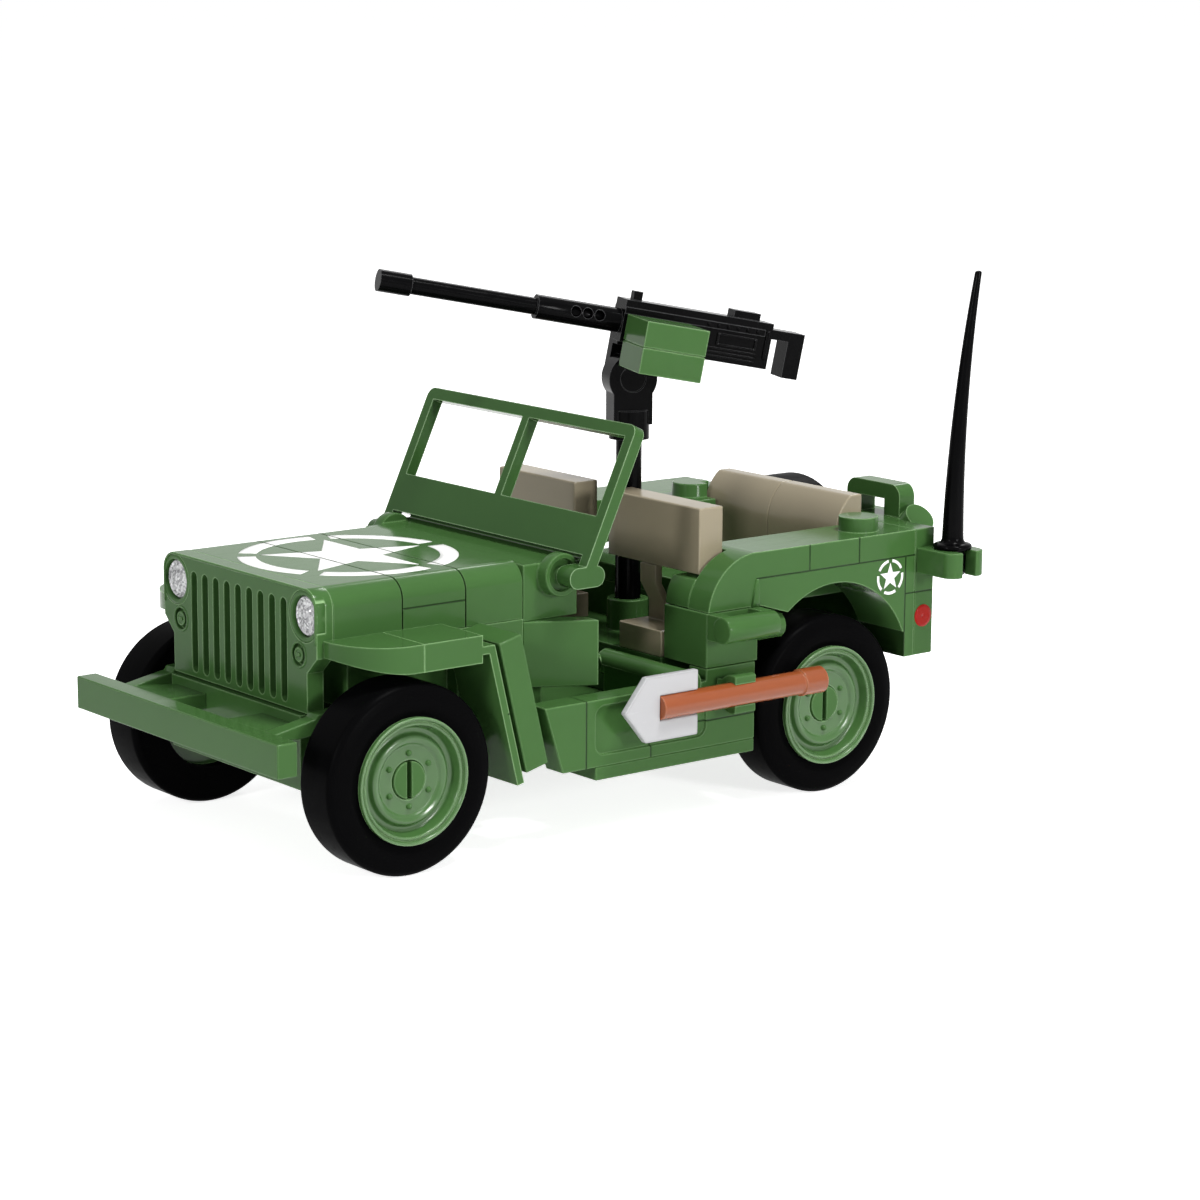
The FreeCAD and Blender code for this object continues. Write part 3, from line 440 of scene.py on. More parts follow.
# The rims' edge colour is lighter and its edge wider: a painted highlight on each ring of the rim.
rim_green = plastic("rim_green_plastic", (0.046, 0.115, 0.031), (0.30, 0.48, 0.24),
                    0.16, 0.08, 0.14, 0.00042, 0.08, 0.42)
rear_side_green = plastic("rear_side_green_plastic", *green_values, seams=[
    ("Y", axle_y + 58.5, 28.0, 31.2), ("Y", axle_y + 66.6, 28.0, 31.2),
    ("Z", 28.0, axle_y + 50.0, axle_y + 76.0), ("Y", axle_y + 74.4, 15.3, 28.0),
    ("Z", 23.3, axle_y + 74.4, axle_y + 79.2)])
hood_low, hood_high = node_box("hood_middle")
hood_borders = (hood_low[1], hood_high[1], node_box("hood_rear")[1][1])
hood_green = plastic("hood_green_plastic", *green_values, seams=[
    *(("Y", border, 20.0, 40.0) for border in hood_borders), ("Z", 28.6, *hood_borders[:2])])
# The windscreen's green is a darker copy of the same plastic, painted shade, with a brighter painted highlight
# along its edges.
shaded_screen_green = plastic("windscreen_shaded_green_plastic", (0.037, 0.096, 0.025), (0.36, 0.54, 0.30),
                       0.13, 0.07, 0.16, 0.00024, 0.08, 0.085)
flap_lean = math.radians(-14.3)
flap_green = plastic("flap_green_plastic", *green_values,
                     seams=[("Z", 21.64, -17.2, -12.0)], lean=flap_lean)
sill_green = plastic("sill_green_plastic", *green_values, seams=[
    ("Z", 11.8, axle_y + 40.5, axle_y + 50.0), ("Y", axle_y + 24.4, 8.0, 18.0),
    ("Y", axle_y + 34.0, 8.0, 18.0)])
# The second colours of the seat, gun, tyre, handle and reflector finishes are lighter: a painted highlight along
# their edges.
seat_tan = plastic("seat_tan_plastic", (0.27, 0.232, 0.16), (0.56, 0.50, 0.38),
                   0.18, 0.08, 0.10, 0.0003, 0.06, 0.20)
black = plastic("gun_black_plastic", (0.0018, 0.0018, 0.0020), (0.09, 0.09, 0.093),
                0.14, 0.08, 0.3, 0.00016, 0.10, 0.03)
rubber = plastic("tyre_rubber", (0.002, 0.002, 0.0022), (0.007, 0.007, 0.0075),
                 0.30, 0.10, 0.5, 0.0004, 0.20, 0.006)
# The spade's second colour is darker than its grey: painted shade along its edges.
spade_grey = plastic("spade_grey_plastic", (0.43, 0.43, 0.44), (0.17, 0.17, 0.18),
                     0.20, 0.10, 0.08, 0.0005, 0.08, 0.2)
handle_brown = plastic("handle_brown_plastic", (0.25, 0.062, 0.019), (0.50, 0.21, 0.10),
                       0.16, 0.08, 0.2, 0.0003, 0.10, 0.35)
marking_white = plastic("marking_white_print", (0.84, 0.84, 0.83), (0.84, 0.84, 0.83),
                        0.30, 0.10, 0.04, 0.0001, 0.05, 0.15)
reflector_red = plastic("reflector_red_print", (0.30, 0.010, 0.006), (0.42, 0.03, 0.02),
                        0.18, 0.06, 0.10, 0.0001, 0.05, 0.08)
green_brick = ("car_body", "green_plastic", army_green)
print("finishes:", [m.name for m in bpy.data.materials])

# %% [markdown]
# ## The solids from the CAD frame
# A moulded brick's edges are rounded by a tenth or two of a millimetre, and those thin curves catch
# the light. The nodes are loose triangles, so live modifiers work in turn: Weld joins them, a
# planar Decimate makes each flat side one face again, and Bevel rounds the edges. A last one leans
# the normals towards the big faces, which keeps flats flat.

# %% Round the edges of every node but the tyres, rims and lenses


def live_bevel(piece, width):
    """Round the edges sharper than 35 degrees by a width in millimetres, and keep flats flat."""
    bevel = piece.modifiers.new("bevel", "BEVEL")
    bevel.width = width * mm
    bevel.segments = 2
    bevel.limit_method = "ANGLE"
    bevel.angle_limit = math.radians(35)
    piece.modifiers.new("shade", "WEIGHTED_NORMAL")


def round_edges(piece, width):
    """Weld, flatten, bevel and shade a solid without touching its own mesh."""
    weld = piece.modifiers.new("weld", "WELD")
    weld.merge_threshold = 1e-6
    flat = piece.modifiers.new("flat", "DECIMATE")
    flat.decimate_type = "DISSOLVE"
    flat.angle_limit = math.radians(0.5)
    live_bevel(piece, width)


brick_edge, hood_edge = 0.16, 0.14
finish_of = {
    "green_plastic": (army_green, brick_edge), "tan_plastic": (seat_tan, 0.22),
    "black_plastic": (black, 0.2), "tyre": (rubber, 0.1), "grey_plastic": (spade_grey, 0.18),
    "brown_plastic": (handle_brown, 0.15), "clear_lens": (marking_white, 0.08)}
slot_of = {row["node"]: row["material_slot"] for row in frame["record"]["subparts"]}
special = {"windscreen": (shaded_screen_green, 0.4), "rear_wall": (rear_side_green, brick_edge)}
for brick in ("front", "middle", "rear"):
    special["hood_" + brick] = (hood_green, hood_edge)
for side, label in sides:
    special[label + "_fender_flap"] = (flap_green, brick_edge)
    special[label + "_rear_side"] = (rear_side_green, brick_edge)
    special[label + "_sill"] = (sill_green, brick_edge)
for name, piece in nodes.items():
    finish, width = special.get(name, finish_of[slot_of[name]])
    piece.data.materials.clear()
    piece.data.materials.append(finish)
    if "tyre" not in name and "rim" not in name and "lens" not in name:
        round_edges(piece, width)
print("nodes finished:", len(nodes))

# %% [markdown]
# ## Tyres
# The tyre is plain rubber with a flat tread, soft shoulders and a slightly bulging side that tucks
# in at the rim. Its outline, (along, radius) pairs from a face set back from the rim's, is carried
# round the axle. The corners are eased broadly at the shoulders and tightly at the bead.

# %% Tyre outline
tyre_setback = 0.7
tyre_corners = [
    (0.0, 6.62), (0.0, 7.42), (0.28, 8.3), (0.30, 9.3), (0.02, 10.55), (-0.5, 11.0),
    (-5.7, 11.0), (-6.2, 10.55), (-6.2, 6.62)]
tyre_cuts = [0.05, 0.12, 0.35, 0.4, 0.3, 0.3, 0.3, 0.3, 0.05]
tyre_profile = rounded_profile(tyre_corners, tyre_cuts, 7)
print("tyre outline points:", len(tyre_profile), " radius", round(tyre_profile[:, 1].max(), 2))

# %% [markdown]
# ## Rims
# The steel wheel of the real car is copied in green plastic: a thin rolled lip, a groove, a second
# ring, a sloping band, a raised ring and a flat middle round the hub hole. The small rounding of
# each step draws the bright rings in the photograph.

# %% Rim outline
rim_corners = [
    (0.0, 7.28), (-0.65, 7.28), (-0.65, 6.62), (-5.6, 6.62), (-5.6, 2.22), (-1.3, 2.22),
    (-1.3, 4.0), (-1.05, 4.25), (-0.85, 4.75), (-1.0, 5.05), (-1.6, 5.35), (-1.5, 5.95),
    (-0.72, 6.22), (-0.30, 6.38), (-0.28, 6.62), (-0.55, 6.76), (-0.10, 6.92), (0.0, 7.05)]
rim_cuts = [0.1, 0.05, 0.05, 0.05, 0.05, 0.12, 0.1, 0.12, 0.18, 0.12, 0.2, 0.2, 0.12, 0.08, 0.08,
            0.06, 0.06, 0.05]
rim_profile = rounded_profile(rim_corners, rim_cuts, 5)
print("rim outline points:", len(rim_profile))

# %% [markdown]
# Six small bolts stand round the hub hole, each a low dome of rings that shrink towards the top.
# One function makes all of a wheel's pieces, because the five wheels differ only in place, side and
# body.

# %% Wheels
tyre_turns, rim_turns = 128, 112
bolt_circle, bolt_radius, bolt_height, hub_depth = 3.05, 0.36, 0.4, 1.3


def dome(centre, radius, height, axis, side, rows=5, turns=14):
    """A low button: ring k has radius * cos(u) and height * sin(u), u from 0 to a quarter turn."""
    u = np.linspace(0, 0.47 * np.pi, rows)
    rings = np.stack([height * np.sin(u), radius * np.cos(u)], axis=1)
    rings = np.vstack([[-0.1, radius], rings])
    return revolve(rings, centre, axis, side, turns)


def wheel_pieces(label, body, centre, axis, side):
    """Tyre, rim and bolts of one wheel; centre is on the axle in the plane of the rim's face."""
    centre = np.asarray(centre, float)
    shift = np.array([side, 0, 0]) if axis == "x" else np.array([0, side, 0])
    tyre_grid = revolve(tyre_profile, centre - tyre_setback * shift, axis, side, tyre_turns)
    tyre = closed_grid(label + "_rubber", tyre_grid, body, "tyre", rubber)
    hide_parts(label + "_tyre")
    rim_grid = revolve(rim_profile, centre, axis, side, rim_turns)
    rim = closed_grid(label + "_steel_style_rim", rim_grid, body, "green_plastic", rim_green)
    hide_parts(label + "_rim")
    bolts = []
    for k in range(6):
        angle = math.radians(60 * k + 90)
        across, up = bolt_circle * math.cos(angle), bolt_circle * math.sin(angle)
        offset = np.array([0, across, up]) if axis == "x" else np.array([across, 0, up])
        foot = centre + offset - hub_depth * shift
        bolts.append(dome(foot, bolt_radius, bolt_height, axis, side))
    capped_grids(label + "_hub_bolts", bolts, body, "green_plastic", army_green)


for label, side in (("front_left", 1), ("front_right", -1), ("rear_left", 1), ("rear_right", -1)):
    hub = joint_place(label + "_wheel_spin")
    low, high = node_box(label + "_rim")
    face = high[0] if side > 0 else low[0]
    wheel_pieces(label, label + "_wheel", (face, hub[1], hub[2]), "x", side)
spare_hub = joint_place("spare_wheel_spin")
spare_face = node_box("spare_rim")[1][1]
wheel_pieces("spare", "spare_wheel", (spare_hub[0], spare_face, spare_hub[2]), "y", 1)
print("wheels made; spare rim's face y", round(float(spare_face), 2))

# %% [markdown]
# ## Headlamps
# A lamp is a clear moulded disc over a bright cup, which from outside is a finely broken sparkle.
# The disc is a domed grid whose height carries upright flutes and rings, so part of the glitter
# comes from real shape; the rest is painted glints, grey speckles in the disc's colour. A ring fills
# its seat, and a small marker lamp sits below.

# %% Lamp finish and lenses
lamp_silver, tree, shader = new_material("lamp_silver")
place = node(tree, "TexCoord")
# Painted glints: grey speckles in the disc's colour stand in for the sparkle of the bright cup.
painted_glints = node(tree, "TexVoronoi", Vector=place.outputs["Object"], Scale=3600.0)
shade = node(tree, "ValToRGB", Fac=painted_glints.outputs["Color"])
for stop, position, grey in zip(shade.color_ramp.elements, (0.25, 0.75), (0.22, 0.62)):
    stop.color = (grey, grey, grey + 0.01, 1)
    stop.position = position
tree.links.new(shade.outputs["Color"], shader.inputs["Base Color"])
bump = node(tree, "Bump", Distance=0.0001, Strength=0.5, Height=painted_glints.outputs["Distance"])
tree.links.new(bump.outputs["Normal"], shader.inputs["Normal"])
shader.inputs["Roughness"].default_value = 0.18
shader.inputs["Metallic"].default_value = 0.2

grille_low, grille_high = node_box("grille_front")
lens_radius, seat_radius, seat_depth = 2.34, 2.94, 1.18
marker_out, marker_z = 12.4, 24.3


def lamp_lens(side_name):
    """A shallow domed disc in a rolled edge, set back in its seat.
    Forward of the seat by dome * (1 - (r/R)^2) + flutes + rings, in millimetres."""
    low, high = node_box(side_name + "_headlamp_lens")
    centre = (low + high) / 2
    rows, turns = 30, 84
    r = np.linspace(0.02, 1.0, rows)[:, None]
    a = full_turn(turns)[None, :]
    x = lens_radius * r * np.cos(a)
    z = lens_radius * r * np.sin(a)
    inside = np.clip((0.80 - r) / 0.06, 0, 1)
    flutes = 0.035 * np.cos(x * 2 * np.pi / 0.55) * inside
    rings = 0.03 * np.cos(r * lens_radius * 2 * np.pi / 0.8) * inside
    rolled = 0.20 * np.exp(-((r - 0.90) / 0.06) ** 2)
    lift = 0.30 * (1 - r ** 2) + flutes + rings + rolled
    y = grille_low[1] + 0.62 - lift
    front = np.stack([centre[0] + x, y + 0 * x, centre[2] + z], axis=-1)
    rim = front[-1] * [1, 0, 1] + [0, high[1] - 0.02, 0]
    grid = np.concatenate([front, rim[None]])
    lens = capped_grids(side_name + "_lamp_lens", [grid], "car_body", "clear_lens", lamp_silver)
    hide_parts(side_name + "_headlamp_lens")


def lamp_surround(side_name, side):
    """A ring that fills the seat round the lens. Its outer radius is the seat's, but never beyond
    the grille's side: min(seat, reach / cos angle) on the outer half."""
    low, high = node_box(side_name + "_headlamp_lens")
    centre = (low + high) / 2
    edge = grille_high[0] if side > 0 else grille_low[0]
    reach_out = abs(edge - centre[0]) - 0.01
    a = full_turn(96)
    outer = np.minimum(seat_radius, reach_out / np.maximum(np.cos(a), 0.2))
    inner = lens_radius + 0.02
    rows = []
    for radius, depth in ((outer, seat_depth), (outer, 0.08), (outer - 0.07, 0.01),
                          (inner + 0.07, 0.01), (inner, 0.09), (inner, seat_depth)):
        x = centre[0] + side * radius * np.cos(a)
        z = centre[2] + radius * np.sin(a)
        rows.append(np.stack([x, grille_low[1] + depth + 0 * a, z], axis=-1))
    closed_grid(side_name + "_lamp_surround", np.array(rows), *green_brick)


def marker_lamp(side_name, side):
    """A rolled ring, an inner ring and a small block: the marker lamp under a headlamp."""
    centre = (centre_x + side * marker_out, grille_low[1], marker_z)
    t = full_turn(12)
    for label, radius, half, proud in (("outer", 1.42, 0.17, 0.14), ("inner", 0.72, 0.14, 0.10)):
        profile = np.stack([-0.02 + proud * np.sin(t), radius + half * np.cos(t)], axis=1)
        closed_grid(side_name + "_marker_ring_" + label, revolve(profile, centre, "y", -1, 48),
                    *green_brick)
    block = pillow((centre[0], centre[1] - 0.04, centre[2]), (0.34, 0.12, 0.22), power=0.5)
    capped_grids(side_name + "_marker_block", [block], *green_brick)


for side, label in sides:
    lamp_lens(label)
    lamp_surround(label, side)
print("lamps made")

# %% [markdown]
# ## Printed markings
# A white star in a broken ring is printed across the bonnet and again, small, on each rear side.
# Print is a thin layer of paint, so each mark is a plate a few hundredths of a millimetre thick,
# laid on the surface. The plates follow the bonnet's rounded shoulders by height.

# %% Star and ring outlines
print_thickness, seam_gap = 0.03, 0.13


def star_grid(outer, inner, steps):
    """Point (s, e) = s times the outline at e, with s from almost 0 to 1. The outline has ten
    corners, 36 degrees apart, with radius outer and inner in turn."""
    k = np.arange(10)
    angle = math.radians(90) + k * np.pi / 5
    radius = np.where(k % 2 == 0, outer, inner)
    corners = np.stack([radius * np.cos(angle), radius * np.sin(angle)], axis=1)
    nxt = np.roll(corners, -1, axis=0)
    t = np.linspace(0, 1, steps, endpoint=False)[None, :, None]
    edge = (corners[:, None] * (1 - t) + nxt[:, None] * t).reshape(-1, 2)
    s = np.linspace(0.001, 1, steps * 2)[:, None, None]
    return s * edge[None]


def ring_grid(r0, r1, start, end, steps):
    """A curved band: radius from r0 to r1 one way, degrees from start to end the other."""
    r = np.linspace(r0, r1, 5)[:, None]
    a = np.radians(np.linspace(start, end, steps))[None, :]
    return np.stack([r * np.cos(a), r * np.sin(a)], axis=-1)


def broken_ring(r0, r1, start, end, steps):
    """Five bands, one every 72 degrees, each from start to end past a corner of the star."""
    return [(ring_grid(r0, r1, 72 * k + 90 + start, 72 * k + 90 + end, steps), False)
            for k in range(5)]


def round_patch(radius, steps):
    """A full disc, but for a pinhole: one band that closes on itself."""
    return [(ring_grid(0.02, radius, 0, 360, steps)[:, :-1], True)]


def print_on(name, grids, lay, finish=marking_white, thickness=print_thickness):
    """One printed piece from flat grids: lay(u, v, lift) puts flat points on the surface."""
    points, faces, first = [], [], 0
    for grid, wrap in grids:
        rows, cols = grid.shape[:2]
        top = lay(grid[..., 0], grid[..., 1], thickness)
        low = lay(grid[..., 0], grid[..., 1], 0.0)
        quads = grid_quads(rows, cols, False, wrap)
        count = rows * cols
        faces += (quads + first).tolist() + (quads[:, ::-1] + first + count).tolist()
        edge = np.arange(cols)
        rims = [(rows - 1) * cols + edge, edge]
        if not wrap:
            rims += [np.arange(rows) * cols, np.arange(rows) * cols + cols - 1]
        for rim in rims:
            nxt = np.roll(rim, -1) if wrap else rim[1:]
            here = rim if wrap else rim[:-1]
            wall = np.stack([here, nxt, nxt + count, here + count], axis=1) + first
            faces += wall.tolist()
        points += [top.reshape(-1, 3), low.reshape(-1, 3)]
        first += 2 * count
    piece = mesh_object(name, np.vstack(points), faces, "car_body", finish)
    outward(piece)
    return piece


hood_round = 2.4
hood_star_y = axle_y + 7.9
hood_seams = hood_borders[:2]


def on_hood(centre_y):
    """Lay points on the bonnet: flat in the middle, then down a quarter circle at each shoulder."""
    middle_x = (hood_low[0] + hood_high[0]) / 2
    half = (hood_high[0] - hood_low[0]) / 2

    def lay(u, v, lift):
        over = np.clip(np.abs(u) - (half - hood_round), 0, hood_round * 1.5)
        angle = over / hood_round
        flat = np.minimum(np.abs(u), half - hood_round)
        x = np.sign(u) * (flat + (hood_round + lift) * np.sin(angle))
        z = hood_high[2] - hood_round + (hood_round + lift) * np.cos(angle)
        return np.stack([middle_x + x, centre_y + v, z], axis=-1)
    return lay


def part_at_seams(piece, seams, gap):
    """Cut a thin print at each seam: slice at the gap's two edges, drop what is between."""
    work = bmesh.new()
    work.from_mesh(piece.data)
    for seam in seams:
        for edge in (seam - gap, seam + gap):
            geometry = work.verts[:] + work.edges[:] + work.faces[:]
            bmesh.ops.bisect_plane(work, geom=geometry, dist=1e-8, plane_co=(0, edge * mm, 0),
                                   plane_no=(0, 1, 0))
        between = [f for f in work.faces if abs(f.calc_center_median().y / mm - seam) < gap]
        bmesh.ops.delete(work, geom=between, context="FACES")
    bmesh.ops.holes_fill(work, edges=[e for e in work.edges if e.is_boundary], sides=0)
    bmesh.ops.recalc_face_normals(work, faces=work.faces)
    work.to_mesh(piece.data)
    work.free()


star = print_on("bonnet_star", [(star_grid(10.2, 3.93, 8), True)], on_hood(hood_star_y))
ring = print_on("bonnet_ring", broken_ring(10.7, 12.85, 5, 67, 24), on_hood(hood_star_y))
for piece in (star, ring):
    part_at_seams(piece, hood_seams, seam_gap)
print("bonnet markings at y", round(hood_star_y, 2), " seams", [round(v, 1) for v in hood_seams])

# %% [markdown]
# The rear sides are flat, so their prints need only a shift: u goes backwards and v upwards. Each
# side has a small star in its ring, and a red dot near the corner.

# %% Rear side markings
side_face = {1: node_box("left_rear_side")[1][0], -1: node_box("right_rear_side")[0][0]}


def on_side(side, centre_y, centre_z):
    """Lay points on the flat outer side of the load bed."""
    def lay(u, v, lift):
        x = side_face[side] + side * lift + 0 * u
        return np.stack([x, centre_y + u, centre_z + v], axis=-1)
    return lay


for side, label in sides:
    lay = on_side(side, axle_y + 71.8, 25.7)
    print_on(label + "_side_star", [(star_grid(1.75, 0.7, 4), True)], lay)
    print_on(label + "_side_ring", broken_ring(1.85, 2.2, 9, 63, 10), lay)
    print_on(label + "_reflector", round_patch(1.4, 49), on_side(side, axle_y + 77.5, 20.2),
             reflector_red, 0.05)
print("side markings made")

# %% [markdown]
# ## Small mouldings
# The toy gun's flank carries a raised window frame, cooling ribs and rivets. They are worked out in
# the gun's own directions and then turned as the gun is, by its pitch and its yaw. Each bar is a
# pillow, a box whose section is a superellipse, so its edges are soft all round.

# %% Pillow bars in the gun's frame
gun_pivot = joint_place("gun_elevation")
gun_cross = np.array(joints["gun_elevation"]["axis"])
gun_yaw = math.atan2(-gun_cross[1], gun_cross[0])
gun_pitch = math.radians(10.7)
flank, bore_up = 1.92, 6.7


def gun_turn(points):
    """Local (left, back, up) from the pivot, pitched about the cross pin and then yawed."""
    p = np.asarray(points, float)
    back = p[..., 1] * math.cos(gun_pitch) + p[..., 2] * math.sin(gun_pitch)
    up = p[..., 2] * math.cos(gun_pitch) - p[..., 1] * math.sin(gun_pitch)
    x = p[..., 0] * math.cos(gun_yaw) + back * math.sin(gun_yaw)
    y = back * math.cos(gun_yaw) - p[..., 0] * math.sin(gun_yaw)
    return np.stack([x, y, up], axis=-1) + gun_pivot


def soft_power(value, power):
    """Sign of the value times its size raised to a power, which squares a circle off."""
    return np.sign(value) * np.abs(value) ** power


def pillow(centre, half, power=0.35, rows=10, turns=24):
    """(a, b) gives half * (c(a) c(b), c(a) s(b), s(a)), c and s being powers of cos and sin."""
    a = np.linspace(-0.49, 0.49, rows)[:, None] * np.pi
    b = full_turn(turns)[None, :]
    x = soft_power(np.cos(a), power) * soft_power(np.cos(b), power)
    y = soft_power(np.cos(a), power) * soft_power(np.sin(b), power)
    z = soft_power(np.sin(a), power) + 0 * b
    return np.stack([x, y, z], axis=-1) * np.asarray(half) + np.asarray(centre)


bars = [pillow((flank, 12.2, bore_up + rise), (0.22, 2.6, 0.14)) for rise in (0.55, -0.75)]
bars += [pillow((flank, back, bore_up - 0.1), (0.22, 0.14, 0.75)) for back in (9.7, 14.7)]
bars += [pillow((flank, 10.6, bore_up - drop), (0.20, 4.4, 0.13)) for drop in (1.25, 1.75, 2.25)]
bars += [pillow((flank, 16.1, bore_up + 0.1), (0.24, 0.24, 1.9))]
rivets = [pillow((flank + 0.2, 8.2 + 1.3 * k, bore_up + 1.5), (0.2, 0.26, 0.26), power=0.8)
          for k in range(6)]
inner = np.array([[-13.4, 0.02], [-13.4, 0.95], [-1.0, 0.95], [-1.0, 0.02]])
tube = revolve(inner, (0, 0, bore_up), "y", 1, 24)
capped_grids("gun_inner_barrel", [gun_turn(tube)], "gun", "black_plastic", black)
mouldings = capped_grids("gun_flank_moulding", [gun_turn(g) for g in bars + rivets], "gun",
                         "black_plastic", black)
print("gun moulding faces:", len(mouldings.data.polygons))

# %% [markdown]
# The CAD frame lacks some bricks that show: the post behind each door, the inner half of each
# curved end, the frame's horns behind the bumper, the lip behind the cowl, and the inner end of the
# left seat's back. Each is a prism, a flat outline carried along one direction, with live rounding.

# %% Prisms for the small bricks


def prism(name, outline, axis, low, high, finish, width=brick_edge, slot="green_plastic"):
    """Carry a flat outline from low to high: side k joins corner k to k + 1, and two ends."""
    flat = np.asarray(outline, float)
    count = len(flat)
    ends = [np.full(count, low), np.full(count, high)]
    if axis == "x":
        rings = [np.stack([e, flat[:, 0], flat[:, 1]], axis=-1) for e in ends]
    else:
        rings = [np.stack([flat[:, 0], e, flat[:, 1]], axis=-1) for e in ends]
    faces = grid_quads(2, count, False, True).tolist()
    faces += [list(range(count))[::-1], [count + k for k in range(count)]]
    piece = mesh_object(name, np.vstack(rings), faces, "car_body", finish, smooth=False)
    outward(piece)
    live_bevel(piece, width)


def span(side, near, far):
    """Two distances from the middle, on one side, in rising order."""
    return sorted((centre_x + side * near, centre_x + side * far))


rear_low_z, rear_rise, curve_y = 24.7, 6.5, axle_y + 50.6
turn = np.radians(np.linspace(0, 31, 9))
bow = np.stack([curve_y - 8.0 * np.cos(turn), rear_low_z + rear_rise * np.sin(turn)], axis=-1)
inner_end = np.vstack([bow, [[curve_y, bow[-1, 1]], [curve_y, rear_low_z]]])
horn = np.array([(-13.6, 16.5), (-10.5, 17.1), (-7.6, 17.6), (-7.3, 18.1), (-1.5, 18.3),
                 (-1.5, 16.3), (-9.9, 15.6), (-13.6, 16.0)]) + [axle_y, 0]
lip = np.array([(27.2, 31.65), (28.2, 31.84), (28.95, 31.88), (29.35, 32.3), (29.75, 32.3),
                (29.75, 31.0), (29.15, 31.0)]) + [axle_y, 0]


def rectangle(low_y, high_y, low_z, high_z):
    """The four corners of an upright rectangle seen from the side."""
    return [(low_y, low_z), (high_y, low_z), (high_y, high_z), (low_y, high_z)]


door_post = rectangle(axle_y + 42.4, axle_y + 50.4, 18.05, 24.65)
for side, label in sides:
    prism(label + "_curved_end_inner", inner_end, "x", *span(side, 16.0, 20.25), army_green)
    prism(label + "_door_post", door_post, "x", *span(side, 16.02, 23.95), army_green)
    prism(label + "_frame_horn", horn, "x", *span(side, 14.05, 16.1), army_green)
prism("cowl_rear_lip", lip, "x", centre_x - 17.4, centre_x + 17.4, army_green, 0.08)
seat_low, seat_high = node_box("left_seat_back")
seat_end = rectangle(seat_low[1], seat_high[1], seat_low[2], seat_high[2])
seat_reach, seat_overlap = 1.75, 0.4
prism("left_seat_back_end", seat_end, "x", seat_low[0] - seat_reach, seat_low[0] + seat_overlap,
      seat_tan, 0.22, "tan_plastic")
print("prisms made; seat end reaches x", round(float(seat_low[0] - seat_reach), 2))

# %% [markdown]
# A tool bar stands out of the left side, level with the foot of the curved end: two arms with a bar
# between them, so that a dark gap shows behind it. An arm's outline ends in a half circle.

# %% Tool bar, marker lamps and bonnet bead
bar_x, bar_z, bar_radius = centre_x + 26.6, 23.05, 1.6
half_turn = np.radians(np.linspace(-90, 90, 13))
arm_root, arm_reach = centre_x + 23.9, 1.5
nose = np.stack([bar_x + arm_reach * np.cos(half_turn), bar_z + bar_radius * np.sin(half_turn)],
                axis=1)
arm = np.vstack([[[arm_root, bar_z - bar_radius]], nose, [[arm_root, bar_z + bar_radius]]])
for label, low, high in (("front", 42.45, 44.0), ("rear", 48.85, 50.4)):
    prism("tool_bar_" + label + "_arm", arm, "y", axle_y + low, axle_y + high, army_green, 0.12)
bar_profile = np.array([[42.4, 0.02], [42.4, 1.42], [42.44, 1.54], [42.56, 1.6], [50.3, 1.6],
                        [50.42, 1.54], [50.46, 1.42], [50.46, 0.02]])
bar = revolve(bar_profile, (bar_x, axle_y, bar_z), "y", 1, 40)
capped_grids("tool_bar", [bar], *green_brick)
for side, label in sides:
    marker_lamp(label, side)


def bonnet_bead():
    """A thin bead along the grille's top outline: a small circle carried up one side, across the
    top and down the other. Each row of the path is (x, z, outward x, outward z)."""
    inset, thickness, corner, foot = 0.17, 0.16, 2.05, 25.9
    half = (grille_high[0] - grille_low[0]) / 2 - inset
    top = grille_high[2] - inset
    quarter = np.radians(np.linspace(0, 90, 13))
    rise = np.linspace(foot, top - corner, 10)
    right_side = np.stack([half + 0 * rise, rise, 1 + 0 * rise, 0 * rise], axis=1)
    right_bend = np.stack([half - corner + corner * np.cos(quarter),
                           top - corner + corner * np.sin(quarter),
                           np.cos(quarter), np.sin(quarter)], axis=1)
    path = np.vstack([right_side[:-1], right_bend])
    mirrored = path[::-1] * [-1, 1, -1, 1]
    path = np.vstack([path, mirrored])
    t = full_turn(12)[None, :]
    x = centre_x + path[:, 0:1] + thickness * np.cos(t) * path[:, 2:3]
    z = path[:, 1:2] + thickness * np.cos(t) * path[:, 3:4]
    y = grille_low[1] + thickness * np.sin(t) + 0 * x
    capped_grids("bonnet_front_bead", [np.stack([x, y, z], axis=-1)], *green_brick)


bonnet_bead()
print("small bricks made")

# %% [markdown]
# The spade's handle is hollow at its end, which shows as a dark oval; a black disc on the end face
# paints that shade. A small rib stands at the front of each rear side.

# %% Handle end and ribs
handle_low, handle_high = node_box("spade_handle")
handle_middle = (handle_low + handle_high) / 2


def on_handle_end(u, v, lift):
    """Lay flat points on the handle's rear end face, sunk a little so that they stay inside it."""
    y = handle_high[1] + lift - 0.02 + 0 * u
    return np.stack([handle_middle[0] + u, y, handle_middle[2] + v], axis=-1)


# Painted shade: a black disc on the handle's end stands for the dark inside of its hollow.
print_on("handle_end_painted_shade", round_patch(0.85, 33), on_handle_end, black, 0.015)


def small_rib(side):
    """A slim rib that widens downwards, its outline shrinking a little as it stands proud."""
    top, foot = np.array([50.1, 28.0]), np.array([[49.2, 24.7], [50.5, 24.7]])
    outline = np.array([top - [0.15, 0], top + [0.15, 0], foot[1], foot[0]])
    levels = np.array([-0.2, 0.22, 0.3])[:, None]
    shrink = np.array([1.0, 1.0, 0.7])[:, None, None]
    middle = outline.mean(axis=0)
    flat = (outline[None] - middle) * shrink + middle
    x = side_face[side] + side * (levels + 0 * flat[..., 0])
    return np.stack([x, axle_y + flat[..., 0], flat[..., 1]], axis=-1)


